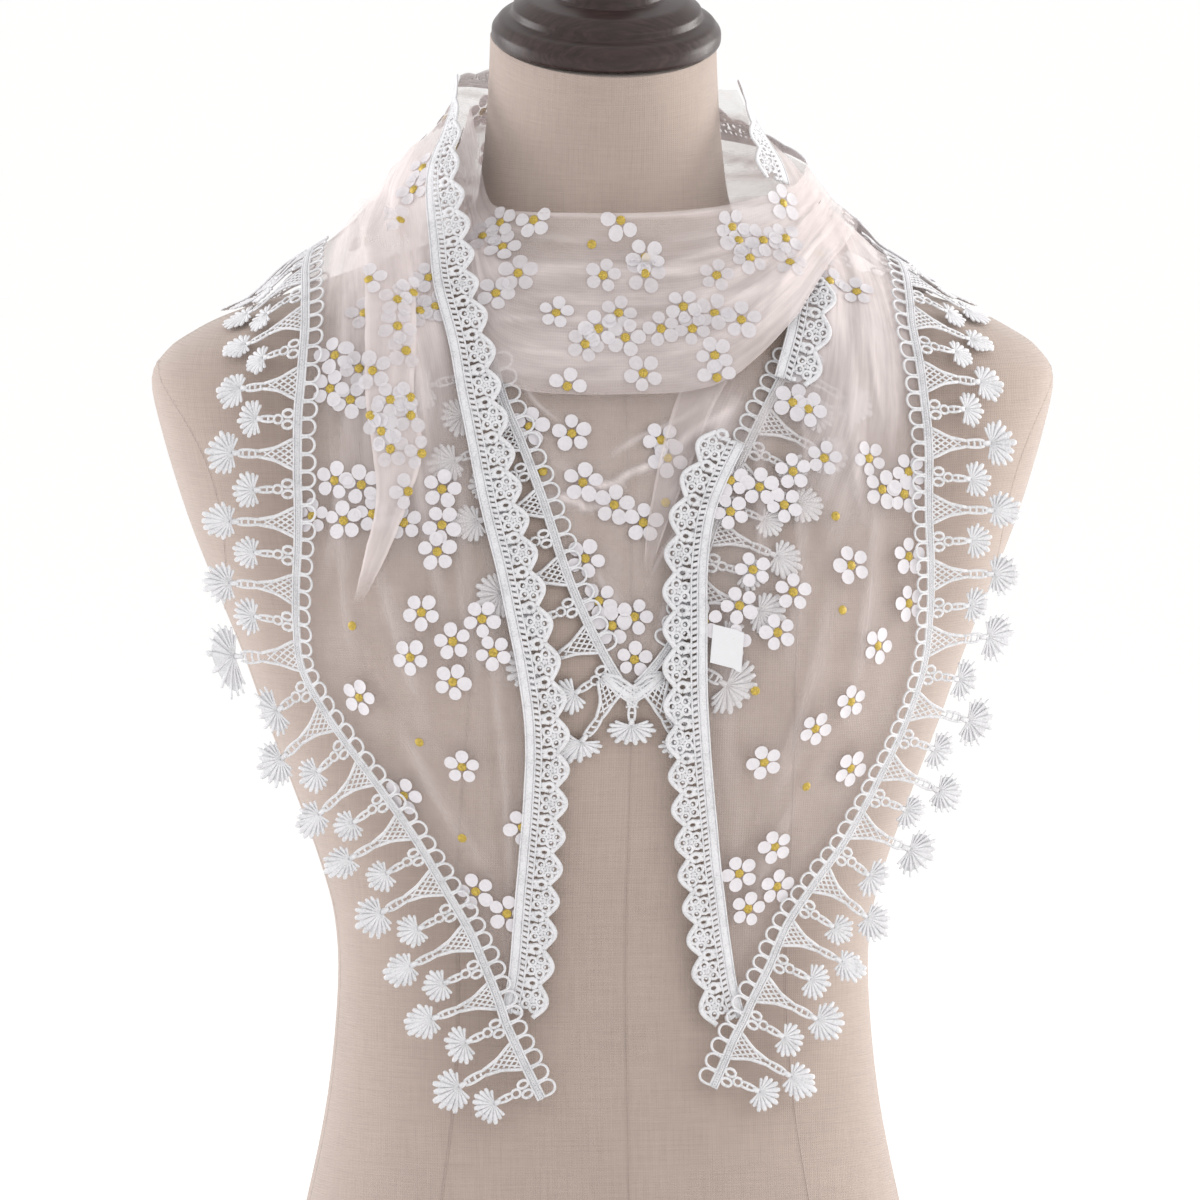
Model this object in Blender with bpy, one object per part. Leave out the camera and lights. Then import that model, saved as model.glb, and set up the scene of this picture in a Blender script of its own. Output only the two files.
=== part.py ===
"""Lace shawl wound round the neck of a limbless dress form.

Metres, +Z up. X is the viewer's right and the form faces -Y. The origin is the centre of the form's flat
underside. The tables are in millimetres. Edges of the cloth are given as they are seen from the front, across
and up on a plane square to the view, and are then laid on the form.
"""

import math
from collections import namedtuple

import bmesh
import bpy
from mathutils import Vector
from mathutils.bvhtree import BVHTree

MM = 0.001

# The front view, which the edge tables are measured in
VIEW_AZIMUTH = math.radians(-6.5)
VIEW_ELEVATION = math.radians(3.5)
VIEW_RIGHT = Vector((math.cos(VIEW_AZIMUTH), math.sin(VIEW_AZIMUTH), 0.0))
VIEW_AHEAD = Vector(
    (
        -math.sin(VIEW_AZIMUTH) * math.cos(VIEW_ELEVATION),
        math.cos(VIEW_AZIMUTH) * math.cos(VIEW_ELEVATION),
        -math.sin(VIEW_ELEVATION),
    )
)
VIEW_UP = VIEW_RIGHT.cross(VIEW_AHEAD)

# Dress form
FORM_SEGMENTS = 30
NECK_TILT = math.radians(15.0)
TILT_START = 560 * MM
NECK_TOP = 635 * MM
BUST_ACROSS = 72 * MM
BUST_HEIGHT = 362 * MM
BUST_RISE = 13 * MM
BUST_SPREAD = 40 * MM
SHOULDER_LINE_Y = 4 * MM
CREST_GAP = 2 * MM
COVER_REACH = 25 * MM
COVER_ALONG = 4 * MM
COVER_ASIDE = 3 * MM
CLEAR_STEP = 0.25 * MM
CLEAR_ROUNDS = 60
CREST_CALM = 18 * MM
TORSO_SHARP = 50
CAP_SHARP = 40

# Cloth and lace
TULLE_WALL = 1.0 * MM
BAND_WALL = 1.2 * MM
LACE_WALL = 1.1 * MM
SEAM_GAP = 0.3 * MM
LAYER_GAP = 0.4 * MM
STACK_GAP = 1.8 * MM

# Height of each layer's underside over the form
BIB_LIFT = 0.9 * MM
BIB_LACE_LIFT = BIB_LIFT + TULLE_WALL + LAYER_GAP
LOW_LIFT = BIB_LACE_LIFT + LACE_WALL + STACK_GAP
HIGH_LIFT = LOW_LIFT + 4.0 * MM
LACE_STEP = TULLE_WALL + LAYER_GAP
TIP_STEP = LACE_WALL + LAYER_GAP

# Heights between which the left end climbs onto the band, and the fans fall straight
CLIMB_FROM = 425
CLIMB_TO = 470
STIFF_FROM = 520
STIFF_TO = 420

# Rows and columns of the cloth's walls
END_ROWS = 19
END_COLUMNS = 8
BAND_STATIONS = 15
BAND_LAST_STATIONS = (0.33, 0.67)
CREST_STEPS = 101
BIB_ROWS = 12
BIB_COLUMNS = 9
BACK_STATIONS = 11
BACK_ROWS = 7
PLEAT_ROWS = 10
PLEAT_COLUMNS = 5
FRONT_PATH_STEPS = 80
BACK_PATH_STEPS = 60
EDGE_STEP = 2.5 * MM

# Rings of the form: height, half width, front and back, and how square the outline is
Ring = namedtuple("Ring", "z half front back square")
FORM_RINGS = [
    Ring(0, 158, -118, 125, 2.3),
    Ring(30, 154, -116, 122, 2.3),
    Ring(60, 147, -112, 118, 2.3),
    Ring(112, 134, -103, 104, 2.3),
    Ring(160, 124.5, -95, 90, 2.3),
    Ring(209, 120, -88, 80, 2.3),
    Ring(240, 121.5, -89, 78, 2.3),
    Ring(265, 128, -94, 80, 2.3),
    Ring(293, 138, -101, 84, 2.3),
    Ring(328, 151.5, -108, 90, 2.3),
    Ring(360, 163, -112, 95, 2.35),
    Ring(392, 176, -110, 99, 2.4),
    Ring(423, 188, -104, 101, 2.5),
    Ring(459, 199, -95, 100, 2.6),
    Ring(484, 204, -86, 97, 2.6),
    Ring(497, 197, -81, 93, 2.5),
    Ring(505, 186, -78, 91, 2.4),
    Ring(513, 170, -74, 87, 2.3),
    Ring(524, 137, -69, 82, 2.2),
    Ring(535, 107, -64, 76, 2.1),
    Ring(544, 80, -60, 70, 2.0),
    Ring(553, 64, -57, 65, 2.0),
    Ring(562, 57.5, -55, 61, 2.0),
    Ring(585, 54, -56, 53, 2.0),
    Ring(610, 52, -59, 46, 2.0),
    Ring(635, 51, -63, 39, 2.0),
]

# The same rings where the gathered cloth bridges from the neck to the shoulders
BRIDGE_START = 500
BRIDGE_RINGS = [
    Ring(511, 174, -76, 89, 2.3),
    Ring(522, 148, -72, 86, 2.2),
    Ring(534, 125, -68, 83, 2.1),
    Ring(546, 109, -65, 80, 2.0),
    Ring(558, 96, -63, 76, 2.0),
    Ring(577, 82, -62, 69, 2.0),
    Ring(592, 67, -61, 62, 2.0),
    Ring(606, 58, -61, 54, 2.0),
    Ring(620, 54, -62, 46, 2.0),
    Ring(635, 52, -64, 40, 2.0),
]

# Turned neck cap: radius and height over the neck's top
Turn = namedtuple("Turn", "radius height")
CAP_PROFILE = [
    Turn(50.0, 0.3),
    Turn(51.8, 3.0),
    Turn(51.8, 7.5),
    Turn(48.5, 12.0),
    Turn(43.2, 13.8),
    Turn(42.8, 17.5),
    Turn(36.5, 22.0),
    Turn(26.0, 24.0),
    Turn(25.0, 28.0),
    Turn(16.5, 31.5),
    Turn(12.0, 36.0),
    Turn(16.0, 42.0),
    Turn(14.5, 50.0),
    Turn(7.0, 55.5),
]
CAP_SEGMENTS = 20

# One row of a hanging end, from its inner edge to its outer edge, as seen from the front
EndRow = namedtuple("EndRow", "in_across in_up out_across out_up")
LEFT_END = [
    EndRow(-71, 566, -131, 500),
    EndRow(-72, 541, -133, 480),
    EndRow(-72, 518, -134, 459),
    EndRow(-67, 496, -134, 436),
    EndRow(-63, 473, -133, 413),
    EndRow(-58, 449, -133, 390),
    EndRow(-52, 420, -132, 370),
    EndRow(-46, 396, -129, 353),
    EndRow(-41, 372, -116, 330),
    EndRow(-36, 348, -97, 303),
    EndRow(-33, 325, -81, 279),
    EndRow(-33, 297, -68, 255),
    EndRow(-35, 268, -58, 236),
    EndRow(-37, 240, -50, 216),
    EndRow(-39, 215, -45, 202),
    EndRow(-42, 197, -43, 194),
]
RIGHT_END = [
    EndRow(77, 567, 136, 503),
    EndRow(84, 545, 140, 485),
    EndRow(86, 524, 142, 466),
    EndRow(84, 503, 143, 447),
    EndRow(78, 480, 142, 424),
    EndRow(60, 451, 142, 402),
    EndRow(48, 424, 141, 380),
    EndRow(44, 398, 138, 356),
    EndRow(44, 372, 130, 331),
    EndRow(44, 346, 117, 303),
    EndRow(45, 318, 104, 278),
    EndRow(47, 288, 90, 257),
    EndRow(49, 263, 79, 239),
    EndRow(52, 236, 70, 217),
    EndRow(55, 212, 62, 199),
    EndRow(59, 195, 60, 192),
]

# Heights at which each stretch passes over the shoulder line, from its top edge to its low edge
LEFT_CREST = [614, 590, 560, 534]
RIGHT_CREST = [612, 588, 560, 533]
BAND_LEFT_CREST = [606, 585, 562]
BAND_RIGHT_CREST = [574, 559, 546]

Point2 = namedtuple("Point2", "across up")

# Lower stretches of the laces, past the tips of the ends
LEFT_TIP = [Point2(-41, 189), Point2(-34, 173), Point2(-27, 158)]
RIGHT_TIP = [Point2(57, 188), Point2(52, 175), Point2(47, 163)]

# The folded band at the throat: its top and bottom edge at each place across
BandRow = namedtuple("BandRow", "top_across top_up low_across low_up lift bridge step")
THROAT_BAND = [
    BandRow(-51, 586, -60, 538, 0.0, 0.35, 0.30),
    BandRow(-49, 567, -60, 512, 0.0, 0.35, 0.35),
    BandRow(-44, 558, -54, 487, 0.0, 0.35, 0.45),
    BandRow(-30, 556, -39, 475, 0.0, 0.4, 0.80),
    BandRow(-10, 556, -15, 472, 0.2, 0.5, 1.00),
    BandRow(12, 556, 12, 472, 0.5, 0.8, 1.00),
    BandRow(34, 557, 36, 473, 1.0, 1.0, 1.00),
    BandRow(52, 559, 54, 478, 2.4, 1.0, 1.00),
    BandRow(67, 562, 69, 489, 3.4, 1.0, 0.90),
    BandRow(79, 565, 86, 507, 4.0, 1.0, 0.70),
]

# Fall of the band's folds: share of the way down, and how far the fold stands out there
Fold = namedtuple("Fold", "down out")
BAND_FOLDS = [
    Fold(0.00, 0.4),
    Fold(0.14, 0.0),
    Fold(0.30, 0.4),
    Fold(0.34, 1.9),
    Fold(0.47, 1.6),
    Fold(0.60, 2.0),
    Fold(0.64, 3.5),
    Fold(0.82, 3.1),
    Fold(1.00, 2.2),
]

# The two swags of the V: the heights between which they hang, how deep each is and how far it stands out
SWAG_LOW = 402
SWAG_HIGH = 458
SWAG_DEPTH = 28
SWAG_RISE = 1.6 * MM

# The V below the band, each side from the top to the point
BIB_LEFT = [
    Point2(-50, 492),
    Point2(-45, 472),
    Point2(-37, 453),
    Point2(-27, 426),
    Point2(-16, 392),
    Point2(-4, 365),
    Point2(8, 345),
]
BIB_RIGHT = [
    Point2(85, 492),
    Point2(71, 464),
    Point2(62, 446),
    Point2(54, 428),
    Point2(46, 405),
    Point2(39, 383),
    Point2(32, 365),
    Point2(23, 353),
    Point2(15, 345),
]

# The stretches behind: degrees round the neck from the viewer's right shoulder, and heights of both edges
BackRow = namedtuple("BackRow", "degrees top low")
BACK_OVER = [
    BackRow(12, 578, 537),
    BackRow(35, 584, 521),
    BackRow(60, 591, 505),
    BackRow(90, 600, 497),
    BackRow(120, 607, 500),
    BackRow(145, 611, 510),
    BackRow(168, 613, 526),
]
BACK_UNDER = [
    BackRow(12, 611, 524),
    BackRow(35, 610, 510),
    BackRow(60, 609, 503),
    BackRow(90, 607, 505),
    BackRow(120, 606, 519),
    BackRow(145, 605, 540),
    BackRow(168, 605, 556),
]
UNDER_LACE_TO = 70
HUG_FROM = 110
HUG_TO = 165
HUG_SHARE = 0.65

# The loose folds that fall from the gathers: left and right edge, as seen from the front
PleatRow = namedtuple("PleatRow", "up left right")
LEFT_PLEAT = [
    PleatRow(548, -98, -82),
    PleatRow(520, -102, -82),
    PleatRow(492, -105, -83),
    PleatRow(470, -105, -84),
    PleatRow(448, -102, -80),
    PleatRow(425, -100, -86),
    PleatRow(402, -104, -94),
    PleatRow(382, -108, -104),
]
RIGHT_PLEAT = [
    PleatRow(490, 40, 62),
    PleatRow(470, 32, 50),
    PleatRow(450, 26, 42),
    PleatRow(430, 22, 34),
    PleatRow(412, 19, 27),
    PleatRow(395, 18, 21),
]

LEFT_PLEAT_PEAK = 3.0 * MM
RIGHT_PLEAT_PEAK = 2.0 * MM
PLEAT_TAPER = 0.7

# Gathers on the ends: place across the end, height, width, and the heights between which they rise
Gather = namedtuple("Gather", "across rise width top full low")
LEFT_GATHERS = [
    Gather(0.30, 4.0, 0.10, 600, 520, 430),
    Gather(0.52, 4.5, 0.09, 600, 520, 400),
    Gather(0.74, 3.5, 0.09, 585, 510, 445),
]
RIGHT_GATHERS = [
    Gather(0.50, 4.5, 0.09, 525, 480, 400),
    Gather(0.74, 4.0, 0.08, 535, 490, 430),
]
EDGE_CALM = 12 * MM

# Lace with fans: one repeat
FAN_REPEAT = 30 * MM
BIG_AT = 0.25
SMALL_AT = 0.75
HEADER_HALF = 1.85 * MM
LOOPS_PER_REPEAT = 4
LOOP_BAR = 1.2 * MM
LOOP_SPOKE = 7.0 * MM
LOOP_DEPTH = 8.6 * MM
BIG_ROOT_HALF = 6.0 * MM
BIG_NECK_HALF = 1.3 * MM
BIG_NECK_AT = 18 * MM
BIG_STEM_HALF = 2.6 * MM
BIG_STEM_AT = 28 * MM
SMALL_ROOT_HALF = 4.6 * MM
SMALL_NECK_HALF = 1.3 * MM
SMALL_NECK_AT = 14.5 * MM
FAN_SWAY = 2.0 * MM
SWAY_TURN = 2.3
SWAY_START = 0.7
BIB_POINT_BARE = 18 * MM
PLEAT_ALONG = 7 * MM
PLEAT_ASIDE = 2.5 * MM
FAN_STAND = 0.35
FAN_REST = BIB_LACE_LIFT
FALL_FROM = 3 * MM
FALL_TO = 34 * MM

# Half of a fan's rim, outward from its middle line: across and out
FanPoint = namedtuple("FanPoint", "across out")
BIG_FAN = [FanPoint(8.2, 34.0), FanPoint(6.6, 40.8), FanPoint(0.0, 44.0)]
SMALL_FAN = [FanPoint(6.6, 19.0), FanPoint(3.8, 28.0)]
FAN_REACH = BIG_FAN[-1].out * MM

# Scalloped lace
SCALLOP_PITCH = 16 * MM
SCALLOP_LAP = 2.5 * MM
SCALLOP_VALLEY = 13 * MM
SCALLOP_PEAK = 17.5 * MM
PEAK_FROM = 0.28
PEAK_TO = 0.72

# Where the scalloped lace of the right end turns over, and where the other lace starts to climb over it
TURN_LOW = 470
TURN_HIGH = 530
NAPE_FROM = 560
TIP_LIFT_FROM = 238
TIP_LIFT_EASE = 18

# Label
LABEL_LOW = Point2(47.5, 355)
LABEL_HIGH = Point2(61, 371)
LABEL_WALL = 0.6 * MM


def smooth_step(start, end, value):
    """0 at start, 1 at end, with an even ease between, whichever is larger."""
    share = min(1.0, max(0.0, (value - start) / (end - start)))
    return share * share * (3.0 - 2.0 * share)


def ring_point(ring, angle):
    """A point of a ring, with the bust's two low mounds and the tilt of the neck."""
    across = math.cos(angle)
    deep = math.sin(angle)
    x = ring.half * MM * math.copysign(abs(across) ** (2.0 / ring.square), across)
    depth = -ring.front if deep < 0 else ring.back
    y = depth * MM * math.copysign(abs(deep) ** (2.0 / ring.square), deep)
    z = ring.z * MM
    if deep < 0:
        for side in (-1, 1):
            away = ((x - side * BUST_ACROSS) ** 2 + (z - BUST_HEIGHT) ** 2) / (2 * BUST_SPREAD**2)
            y -= BUST_RISE * math.exp(-away) * min(1.0, -2.0 * deep)
    tilt = NECK_TILT * smooth_step(TILT_START, NECK_TOP, z)
    middle = (ring.front + ring.back) / 2 * MM
    return Vector((x, y, z + (y - middle) * math.sin(tilt)))


def ring_mesh(rings, segments):
    """Vertices and faces of a closed body through rings, flat at both ends."""
    points = []
    for ring in rings:
        for step in range(segments):
            points.append(ring_point(ring, 2 * math.pi * step / segments))
    faces = []
    for row in range(len(rings) - 1):
        for step in range(segments):
            after = (step + 1) % segments
            low = row * segments
            high = low + segments
            faces.append((low + step, low + after, high + after, high + step))
    faces.append(tuple(reversed(range(segments))))
    top = (len(rings) - 1) * segments
    faces.append(tuple(range(top, top + segments)))
    return points, faces


def bridge_rings():
    """Rings under the outer layers: the form, with the bridge from neck to shoulders."""
    low = [ring for ring in FORM_RINGS if ring.z < BRIDGE_START]
    return low + BRIDGE_RINGS


FORM = BVHTree.FromPolygons(*ring_mesh(FORM_RINGS, FORM_SEGMENTS))
BRIDGE = BVHTree.FromPolygons(*ring_mesh(bridge_rings(), 2 * FORM_SEGMENTS))


def off_surface(point, base):
    """The nearest point of a base surface, the way out of it there, and the distance out."""
    hit, normal, _, distance = base.find_nearest(point)
    away = point - hit
    if away.dot(normal) < 0:
        return hit, normal, -distance
    if distance < 0.2 * MM:
        return hit, normal, distance
    return hit, away.normalized(), distance


def seat(point, lift, base):
    """The point moved to a given height over a base surface."""
    hit, out, _ = off_surface(point, base)
    return hit + out * lift


def seen(across, up, base):
    """The point of a base surface that the front view shows at a place in millimetres."""
    place = VIEW_RIGHT * across * MM + VIEW_UP * up * MM
    hit = base.ray_cast(place - VIEW_AHEAD, VIEW_AHEAD)[0]
    if hit:
        return hit
    beside = place - VIEW_AHEAD * (place.y - SHOULDER_LINE_Y) / VIEW_AHEAD.y
    return base.find_nearest(beside)[0]


def around(degrees, up, base):
    """The point of a base surface at an angle round the neck from the right shoulder, at a height."""
    angle = math.radians(degrees)
    out = Vector((math.cos(angle), math.sin(angle), 0.0))
    middle = Vector((0.0, SHOULDER_LINE_Y, up * MM))
    return base.ray_cast(middle + out, -out)[0]


def spline(points, count):
    """Points at even steps along a curve through the given ones, which are vectors or rows of numbers."""
    rows = [(point,) if isinstance(point, (int, float)) else point for point in points]
    size = len(rows[0])
    result = []
    for step in range(count):
        place = step / (count - 1) * (len(rows) - 1)
        index = min(int(place), len(rows) - 2)
        share = place - index
        near = rows[index]
        far = rows[index + 1]
        before = rows[max(index - 1, 0)]
        after = rows[min(index + 2, len(rows) - 1)]
        values = []
        for column in range(size):
            slope_near = (far[column] - before[column]) / 2
            slope_far = (after[column] - near[column]) / 2
            values.append(
                (2 * share**3 - 3 * share**2 + 1) * near[column]
                + (share**3 - 2 * share**2 + share) * slope_near
                + (3 * share**2 - 2 * share**3) * far[column]
                + (share**3 - share**2) * slope_far
            )
        result.append(values)
    return result


def add_object(name, points, faces, material):
    """A named object with one closed mesh, its faces turned outward."""
    mesh = bpy.data.meshes.new(name)
    mesh.from_pydata([tuple(point) for point in points], [], faces)
    work = bmesh.new()
    work.from_mesh(mesh)
    bmesh.ops.recalc_face_normals(work, faces=work.faces)
    if work.calc_volume(signed=True) < 0:
        bmesh.ops.reverse_faces(work, faces=work.faces)
    work.to_mesh(mesh)
    work.free()
    mesh.materials.append(material)
    item = bpy.data.objects.new(name, mesh)
    bpy.context.scene.collection.objects.link(item)
    return item


def split(corners, points):
    """The two triangles of a four-cornered face, cut along its shorter diagonal."""
    a, b, c, d = corners
    if (points[a] - points[c]).length < (points[b] - points[d]).length:
        return (a, b, c), (a, c, d)
    return (a, b, d), (b, c, d)


def wall(name, under, over, material):
    """A closed wall between two grids of points, with its faces cut the same way on both sides."""
    rows = len(under)
    columns = len(under[0])
    points = [point for row in under for point in row] + [point for row in over for point in row]
    top = rows * columns
    faces = []
    for row in range(rows - 1):
        for column in range(columns - 1):
            corner = row * columns + column
            quad = (corner, corner + 1, corner + columns + 1, corner + columns)
            for triangle in split(quad, points):
                faces.append(tuple(reversed(triangle)))
                faces.append(tuple(index + top for index in triangle))
    rim = list(range(columns))
    rim += [row * columns + columns - 1 for row in range(1, rows)]
    rim += [(rows - 1) * columns + column for column in range(columns - 2, -1, -1)]
    rim += [row * columns for row in range(rows - 2, 0, -1)]
    for near, far in zip(rim, rim[1:] + rim[:1]):
        faces.append((near, far, far + top, near + top))
    return add_object(name, points, faces, material)


def seated_wall(name, grid, lifts, base, material, thick=TULLE_WALL):
    """A wall whose underside lies at the given heights over a base surface."""
    under = []
    over = []
    for row, heights in zip(grid, lifts):
        under.append([seat(point, height, base) for point, height in zip(row, heights)])
        over.append([seat(point, height + thick, base) for point, height in zip(row, heights)])
    return wall(name, under, over, material)


def cover_height(foot, out, height, covers, along, aside):
    """The height over a foot point that clears the pieces already laid there and close beside it."""
    for step_along in (-1, 0, 1):
        for step_aside in (-1, 0, 1):
            start = foot + along * step_along + aside * step_aside
            for cover in covers:
                hit = cover.ray_cast(start + out * COVER_REACH, -out, COVER_REACH)[0]
                if hit:
                    height = max(height, (hit - start).dot(out) + LAYER_GAP)
    return height


def surface_of(item):
    """A search tree of an object's mesh, for laying other pieces on it."""
    item.data.calc_loop_triangles()
    points = [vertex.co for vertex in item.data.vertices]
    return BVHTree.FromPolygons(points, [tuple(face.vertices) for face in item.data.loop_triangles])


def gather_rise(gathers, across, up):
    """How far the gathers lift the cloth at a share of the way across it, at a height in millimetres."""
    rise = 0.0
    for gather in gathers:
        hump = math.exp(-(((across - gather.across) / gather.width) ** 2))
        below = smooth_step(gather.low, gather.full, up)
        above = smooth_step(gather.top, gather.full, up)
        rise += gather.rise * MM * hump * min(below, above)
    return rise


def left_lift(up):
    """Height of the left end over the form: high over the band, low further down."""
    return LOW_LIFT + (HIGH_LIFT - LOW_LIFT) * smooth_step(CLIMB_FROM, CLIMB_TO, up)


def right_lift(up):
    """Height of the right end over the form, which lies under the band's end."""
    return LOW_LIFT


def crest_row(heights, degrees, base, count, gap):
    """Points of a base surface along the shoulder line, a little in front of it or behind."""
    points = [around(degrees, up, base) for (up,) in spline(heights, count)]
    for point in points:
        point.y += gap
    return points


def between(near, far, share, base):
    """A row of points between two rows, brought back to the base surface."""
    return [base.find_nearest(a.lerp(b, share))[0] for a, b in zip(near, far)]


def end_grid(rows, crest, degrees, row_count, column_count):
    """Places of a hanging end on the bridge: a row of points for each height, from inner to outer edge."""
    grid = [crest_row(crest, degrees, BRIDGE, column_count, -SEAM_GAP / 2)]
    ups = [[up for (up,) in spline(crest, column_count)]]
    for row in spline(rows, row_count):
        row = EndRow(*row)
        points = []
        heights = []
        for column in range(column_count):
            share = column / (column_count - 1)
            across = row.in_across + (row.out_across - row.in_across) * share
            up = row.in_up + (row.out_up - row.in_up) * share
            points.append(seen(across, up, BRIDGE))
            heights.append(up)
        grid.append(points)
        ups.append(heights)
    grid.insert(1, between(grid[0], grid[1], 0.5, BRIDGE))
    ups.insert(1, [(a + b) / 2 for a, b in zip(ups[0], ups[1])])
    return grid, ups


def hanging_end(name, rows, crest, degrees, gathers, lift, material):
    """One end of the shawl, from the shoulder to its tip, with its gathers."""
    grid, ups = end_grid(rows, crest, degrees, END_ROWS, END_COLUMNS)
    lifts = []
    for points, heights in zip(grid, ups):
        row_lifts = []
        for column, (point, up) in enumerate(zip(points, heights)):
            share = column / (len(points) - 1)
            edge = min((point - points[0]).length, (point - points[-1]).length)
            calm = smooth_step(0.7 * EDGE_CALM, 1.9 * EDGE_CALM, edge)
            row_lifts.append(lift(up) + gather_rise(gathers, share, up) * calm)
        lifts.append(row_lifts)
    return seated_wall(name, grid, lifts, BRIDGE, material)


def throat_band(material):
    """The band across the throat, folded in three, from the left of the neck to the right."""
    under = []
    over = []

    def add_station(hugging, loose, lift, bridge, step):
        """One fold line down the band, between its place on the form and its place on the bridge."""
        low = []
        high = []
        for near, far, fold in zip(hugging, loose, BAND_FOLDS):
            height = LOW_LIFT + (lift + fold.out * step) * MM
            for store, extra in ((low, 0.0), (high, BAND_WALL)):
                on_form = seat(near, height + extra, FORM)
                store.append(on_form.lerp(seat(far, height + extra, BRIDGE), bridge))
        under.append(low)
        over.append(high)

    stations = []
    for row in spline(THROAT_BAND, BAND_STATIONS):
        row = BandRow(*row)
        places = []
        for fold in BAND_FOLDS:
            across = row.top_across + (row.low_across - row.top_across) * fold.down
            up = row.top_up + (row.low_up - row.top_up) * fold.down
            places.append((across, up))
        on_form = [seen(across, up, FORM) for across, up in places]
        on_bridge = [seen(across, up, BRIDGE) for across, up in places]
        bridge = min(1.0, max(0.0, row.bridge))
        stations.append((on_form, on_bridge, row.lift, bridge, row.step))
    falls = [round((CREST_STEPS - 1) * fold.down) for fold in BAND_FOLDS]
    left = spline(BAND_LEFT_CREST, CREST_STEPS)
    left = [left[fall][0] for fall in falls]
    right = crest_row(BAND_RIGHT_CREST, 0, BRIDGE, CREST_STEPS, -SEAM_GAP / 2)
    right = [right[fall] for fall in falls]
    last = stations[-1][1]
    for store, height in ((under, LOW_LIFT), (over, LOW_LIFT + BAND_WALL)):
        store.append([back_point(180, up, height, True) for up in left])
        for point in store[-1]:
            point.y -= SEAM_GAP / 2
    for station in stations:
        add_station(*station)
    end = THROAT_BAND[-1]
    for share in BAND_LAST_STATIONS:
        middle = between(last, right, share, BRIDGE)
        add_station(middle, middle, end.lift, end.bridge, end.step - 0.5 * share)
    add_station(right, right, end.lift, end.bridge, 0.1)
    return wall("front_band", under, over, material)


def front_bib(material):
    """The V of cloth below the band, with two soft swags."""
    left = spline(BIB_LEFT, BIB_ROWS)
    right = spline(BIB_RIGHT, BIB_ROWS)
    grid = []
    lifts = []
    for near, far in zip(left, right):
        row = []
        heights = []
        for column in range(BIB_COLUMNS):
            share = column / (BIB_COLUMNS - 1)
            across = near[0] + (far[0] - near[0]) * share
            up = near[1] + (far[1] - near[1]) * share
            sag = math.sin(math.pi * share)
            row.append(seen(across, up, FORM))
            swag = 0.0
            if SWAG_LOW < up < SWAG_HIGH:
                swag = math.sin(math.pi * (up - SWAG_LOW) / SWAG_DEPTH) ** 2
            heights.append(BIB_LIFT + SWAG_RISE * swag * sag**3)
        grid.append(row)
        lifts.append(heights)
    return seated_wall("front_bib", grid, lifts, FORM, material)


def back_point(degrees, up, lift, hugging):
    """A point of a stretch behind, which may hug the neck toward the viewer's left."""
    loose = seat(around(degrees, up, BRIDGE), lift, BRIDGE)
    if not hugging:
        return loose
    close = seat(around(degrees, up, FORM), lift, FORM)
    return loose.lerp(close, HUG_SHARE * smooth_step(HUG_FROM, HUG_TO, degrees))


def back_stretch(name, rows, right_crest, left_crest, lift, hugging, material):
    """A stretch of the shawl behind the neck, from shoulder to shoulder."""
    stations = [(0, [up for (up,) in spline(right_crest, BACK_ROWS)])]
    for row in spline(rows, BACK_STATIONS):
        row = BackRow(*row)
        fall = (row.low - row.top) / (BACK_ROWS - 1)
        stations.append((row.degrees, [row.top + fall * step for step in range(BACK_ROWS)]))
    stations.append((180, [up for (up,) in spline(left_crest, BACK_ROWS)]))
    under = []
    over = []
    for degrees, ups in stations:
        under.append([back_point(degrees, up, lift, hugging) for up in ups])
        over.append([back_point(degrees, up, lift + TULLE_WALL, hugging) for up in ups])
    for store in (under, over):
        for point in store[0] + store[-1]:
            point.y += SEAM_GAP / 2
    return wall(name, under, over, material)


def pleat(name, rows, base, cover, peak, material):
    """A loose fold lying on the cloth, as a narrow ridge that tapers to a point."""
    under = []
    over = []
    for number, row in enumerate(spline(rows, PLEAT_ROWS)):
        row = PleatRow(*row)
        taper = 1.0 - PLEAT_TAPER * number / (PLEAT_ROWS - 1)
        low = []
        high = []
        for column in range(PLEAT_COLUMNS):
            share = column / (PLEAT_COLUMNS - 1)
            point = seen(row.left + (row.right - row.left) * share, row.up, base)
            hit, out, _ = off_surface(point, base)
            height = cover_height(hit, out, 0.0, [cover], PLEAT_ALONG * VIEW_UP, PLEAT_ASIDE * VIEW_RIGHT)
            height += peak * taper * math.sin(math.pi * share)
            low.append(hit + out * height)
            high.append(hit + out * (height + TULLE_WALL))
        under.append(low)
        over.append(high)
    return wall(name, under, over, material)


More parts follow.
